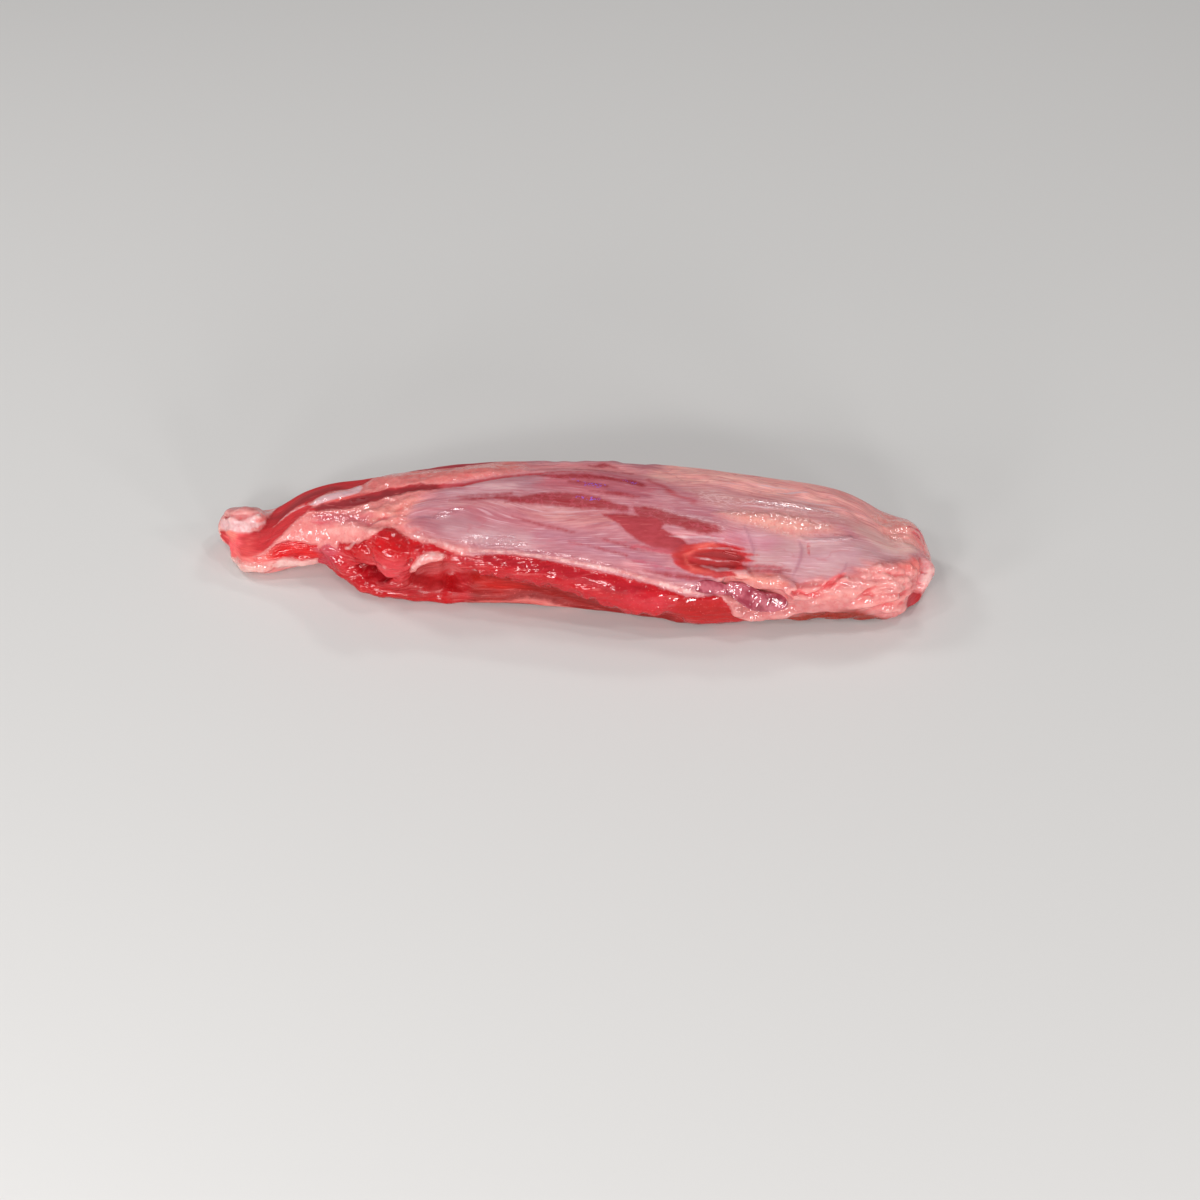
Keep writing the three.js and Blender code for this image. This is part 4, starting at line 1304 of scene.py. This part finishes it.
def dress(piece, material):
    mesh = piece.data
    mesh.materials.clear()
    mesh.materials.append(material)
    mesh.polygons.foreach_set("use_smooth", np.ones(len(mesh.polygons), bool))
    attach(piece, "root")


paintMeat(meat)
dress(meat, meatMaterial())
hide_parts("shin")
print("meat painted")

# The dark glossy clot that lies in the fat: lobes of points (along, turn, lift, radius)
clot = {
    "lobes": [
        [(241, 14, -1.4, 2.6), (245, 14.5, -1, 3.4), (250, 14, -1, 3.4), (254.5, 12, -1.4, 2.4)],
        [(257, 14.5, -1, 3.4), (261, 13, 0, 4.8), (266, 9.5, 0.4, 5.3), (271, 6, 0.4, 5.2),
         (276, 4, 0, 4.8), (281, 3.5, -0.8, 3.6)],
    ],
    "step": 0.12,  # from ball to ball, as a share of the way to the next point
    "faces": (-0.1, -0.81, 0.58),
    "cap": 1.5,  # how far it can stand proud of its middle line that way, in mm
    "voxel": 0.62,
    "smoothing": 6,
    "swell": {"size": 8, "height": 0.35, "seed": 21},
    "blush": {"scale": 0.16, "detail": 2, "rough": 0.5},
    "dimples": {"scale": 0.4, "detail": 2, "rough": 0.45},
    "dimpleDepth": 0.5,
    "dark": (152, 50, 68),
    "light": (192, 96, 110),
    "shader": {"Roughness": 0.12, "Specular IOR Level": 1.0, "Subsurface Weight": 0.15,
               "Subsurface Radius": (1.0, 0.3, 0.3), "Subsurface Scale": 1.5 * mm},
}


def makeClot():
    bm = bmesh.new()
    centres = []
    for path in clot["lobes"]:
        knots = np.array(path, float)
        at = range(len(knots))
        for s in np.arange(0, at[-1] + 0.01, clot["step"]):
            along, turn, lift, radius = [np.interp(s, at, knots[:, k]) for k in range(4)]
            centres.append(muscle.spot(along, turn, lift))
            place = Matrix.Translation(centres[-1])
            bmesh.ops.create_icosphere(bm, subdivisions=3, radius=radius * mm, matrix=place)
    piece = newPiece("clot", bm)
    remesh(piece, clot["voxel"])
    skin = Skin(piece)
    centres = np.array(centres)
    facing = np.array(clot["faces"])
    nearest = centres[np.linalg.norm(skin.points[:, None] - centres, axis=2).argmin(1)]
    high = np.maximum((skin.points - nearest) @ facing / mm, 0)
    capped = clot["cap"] * np.tanh(high / clot["cap"])
    skin.points -= facing * ((high - capped) * mm)[:, None]
    swell = clot["swell"]
    skin.move(skin.wave(swell["size"], 1, swell["seed"]) * swell["height"])
    smooth(piece, clot["smoothing"])
    material, shader, place = newMaterial("clotGloss", clot["shader"])
    spot = place.stretched(mm, mm)
    blush = spot.noise(**clot["blush"]).ramp(0.4, 0.6)
    blush.mix(rgb(*clot["dark"]), rgb(*clot["light"])).feed(shader, "Base Color")
    (spot.noise(**clot["dimples"]) * clot["dimpleDepth"]).bump().feed(shader, "Normal")
    dress(piece, material)


makeClot()
print("clot made")

# Torn threads over the gash: each runs back from its right end, thinning towards both ends
threads = {
    "count": 7,
    "seed": 9,
    "along": (256, 264),
    "turn": (28, 44),
    "length": (4, 12),
    "drift": 1.6,
    "wander": 0.5, "bends": 3,
    "lift": (-1, 0.1),
    "sink": 3,
    "radius": (0.09, 0.16),
    "tipRadius": 0.4,  # as a share of the full radius
    "rings": 14,
    "sides": 6,
    "colour": (224, 116, 118),
    "shader": {"Roughness": 0.3, "Coat Weight": 0.2, "Subsurface Weight": 0.2,
               "Subsurface Radius": (1.0, 0.3, 0.2), "Subsurface Scale": 1 * mm},
}


def addTube(bm, line, radii, sides):
    rings = []
    for i, point in enumerate(line):
        ahead = line[min(i + 1, len(line) - 1)] - line[max(i - 1, 0)]
        turned = ahead.to_track_quat("Z", "Y").to_matrix()
        ring = []
        for k in range(sides):
            angle = 2 * math.pi * k / sides
            out = turned @ Vector((math.cos(angle), math.sin(angle), 0))
            ring.append(bm.verts.new(point + out * radii[i] * mm))
        rings.append(ring)
    for lower, upper in zip(rings[:-1], rings[1:]):
        for k in range(sides):
            after = (k + 1) % sides
            bm.faces.new((lower[k], lower[after], upper[after], upper[k]))
    bm.faces.new(rings[0][::-1])
    bm.faces.new(rings[-1])


def makeThreads():
    random = np.random.default_rng(threads["seed"])
    bm = bmesh.new()
    for i in range(threads["count"]):
        along = random.uniform(*threads["along"])
        turn = random.uniform(*threads["turn"])
        long = random.uniform(*threads["length"])
        drift = random.uniform(-threads["drift"], threads["drift"])
        lift = random.uniform(*threads["lift"])
        radius = random.uniform(*threads["radius"])
        line = []
        radii = []
        for s in np.linspace(0, 1, threads["rings"]):
            rise = min(1, 3 * math.sin(math.pi * s))  # 1 but for the outer ninth at each end
            wander = threads["wander"] * math.sin(threads["bends"] * s + i)
            sink = threads["sink"] * (1 - rise)
            line.append(muscle.spot(along - s * long, turn + drift * s + wander, lift - sink))
            radii.append(radius * (threads["tipRadius"] + (1 - threads["tipRadius"]) * rise))
        addTube(bm, line, radii, threads["sides"])
    piece = newPiece("threads", bm)
    shaderValues = {**threads["shader"], "Base Color": rgb(*threads["colour"])}
    dress(piece, newMaterial("threadFilm", shaderValues)[0])


makeThreads()
print("threads made")

room = {
    "aim": (16, -22, 0),
    "distance": 1143.6,
    "azimuth": -3.55,
    "elevation": 44.04,
    "roll": 0.89,
    "lens": 69.9,
    "sensor": 36,
    "clipStart": 10,
    "floorSize": 6000,
    "floorColour": (218, 216, 214),
    "worldLight": 0.2,
}
# Area lights, all aimed at the middle: where they are and their sides, in mm, and watts
lights = {
    "frontLeft": ((-860, -820, 420), (240, 260), 3.2),
    "frontLow": ((-400, -1100, 220), (220, 130), 2.4),
    "frontHigh": ((-340, -1020, 600), (220, 130), 2.7),
    "frontMiddle": ((440, -1090, 240), (180, 160), 3),
    "frontRight": ((860, -820, 300), (160, 180), 2.5),
    "key": ((-850, 400, 850), (200, 200), 2.4),
    "saddle": ((-470, -20, 1175), (100, 100), 1),
    "film": ((-300, -780, 940), (260, 80), 1.2),
    "left": ((-1230, 10, 450), (100, 140), 0.7),
    "right": ((1105, -250, 720), (100, 220), 1.6),
    "over": ((540, 130, 1160), (140, 70), 1.6),
    "back": ((380, 820, 900), (260, 90), 1.8),
}


def makeCamera():
    data = bpy.data.cameras.new("camera")
    data.lens = room["lens"]
    data.sensor_width = room["sensor"]
    data.clip_start = room["clipStart"] * mm
    camera = bpy.data.objects.new("camera", data)
    scene.collection.objects.link(camera)
    pitch, heading = math.radians(90 - room["elevation"]), -math.radians(room["azimuth"])
    roll = Matrix.Rotation(math.radians(room["roll"]), 3, "Z")
    turned = Euler((pitch, 0, heading)).to_matrix() @ roll
    camera.rotation_euler = turned.to_euler()
    camera.location = (Vector(room["aim"]) + turned @ Vector((0, 0, room["distance"]))) * mm
    scene.camera = camera


def makeLights():
    for name, (place, sides, watts) in lights.items():
        data = bpy.data.lights.new(name, "AREA")
        data.shape = "RECTANGLE"
        data.size, data.size_y = [side * mm for side in sides]
        data.energy = watts
        lamp = bpy.data.objects.new(name, data)
        scene.collection.objects.link(lamp)
        lamp.location = Vector(place) * mm
        lamp.rotation_euler = (-lamp.location).to_track_quat("-Z", "Y").to_euler()
    world = bpy.data.worlds.new("world")
    scene.world = world
    world.use_nodes = True
    background = world.node_tree.nodes["Background"]
    background.inputs["Color"].default_value = (1, 1, 1, 1)
    background.inputs["Strength"].default_value = room["worldLight"]


def makeFloor():
    bm = bmesh.new()
    bmesh.ops.create_grid(bm, x_segments=1, y_segments=1, size=room["floorSize"] / 2 * mm)
    floor = newPiece("floor", bm)
    shaderValues = {"Roughness": 0.9, "Base Color": rgb(*room["floorColour"])}
    floor.data.materials.append(newMaterial("floorPaper", shaderValues)[0])


makeCamera()
makeLights()
makeFloor()
print("room made")
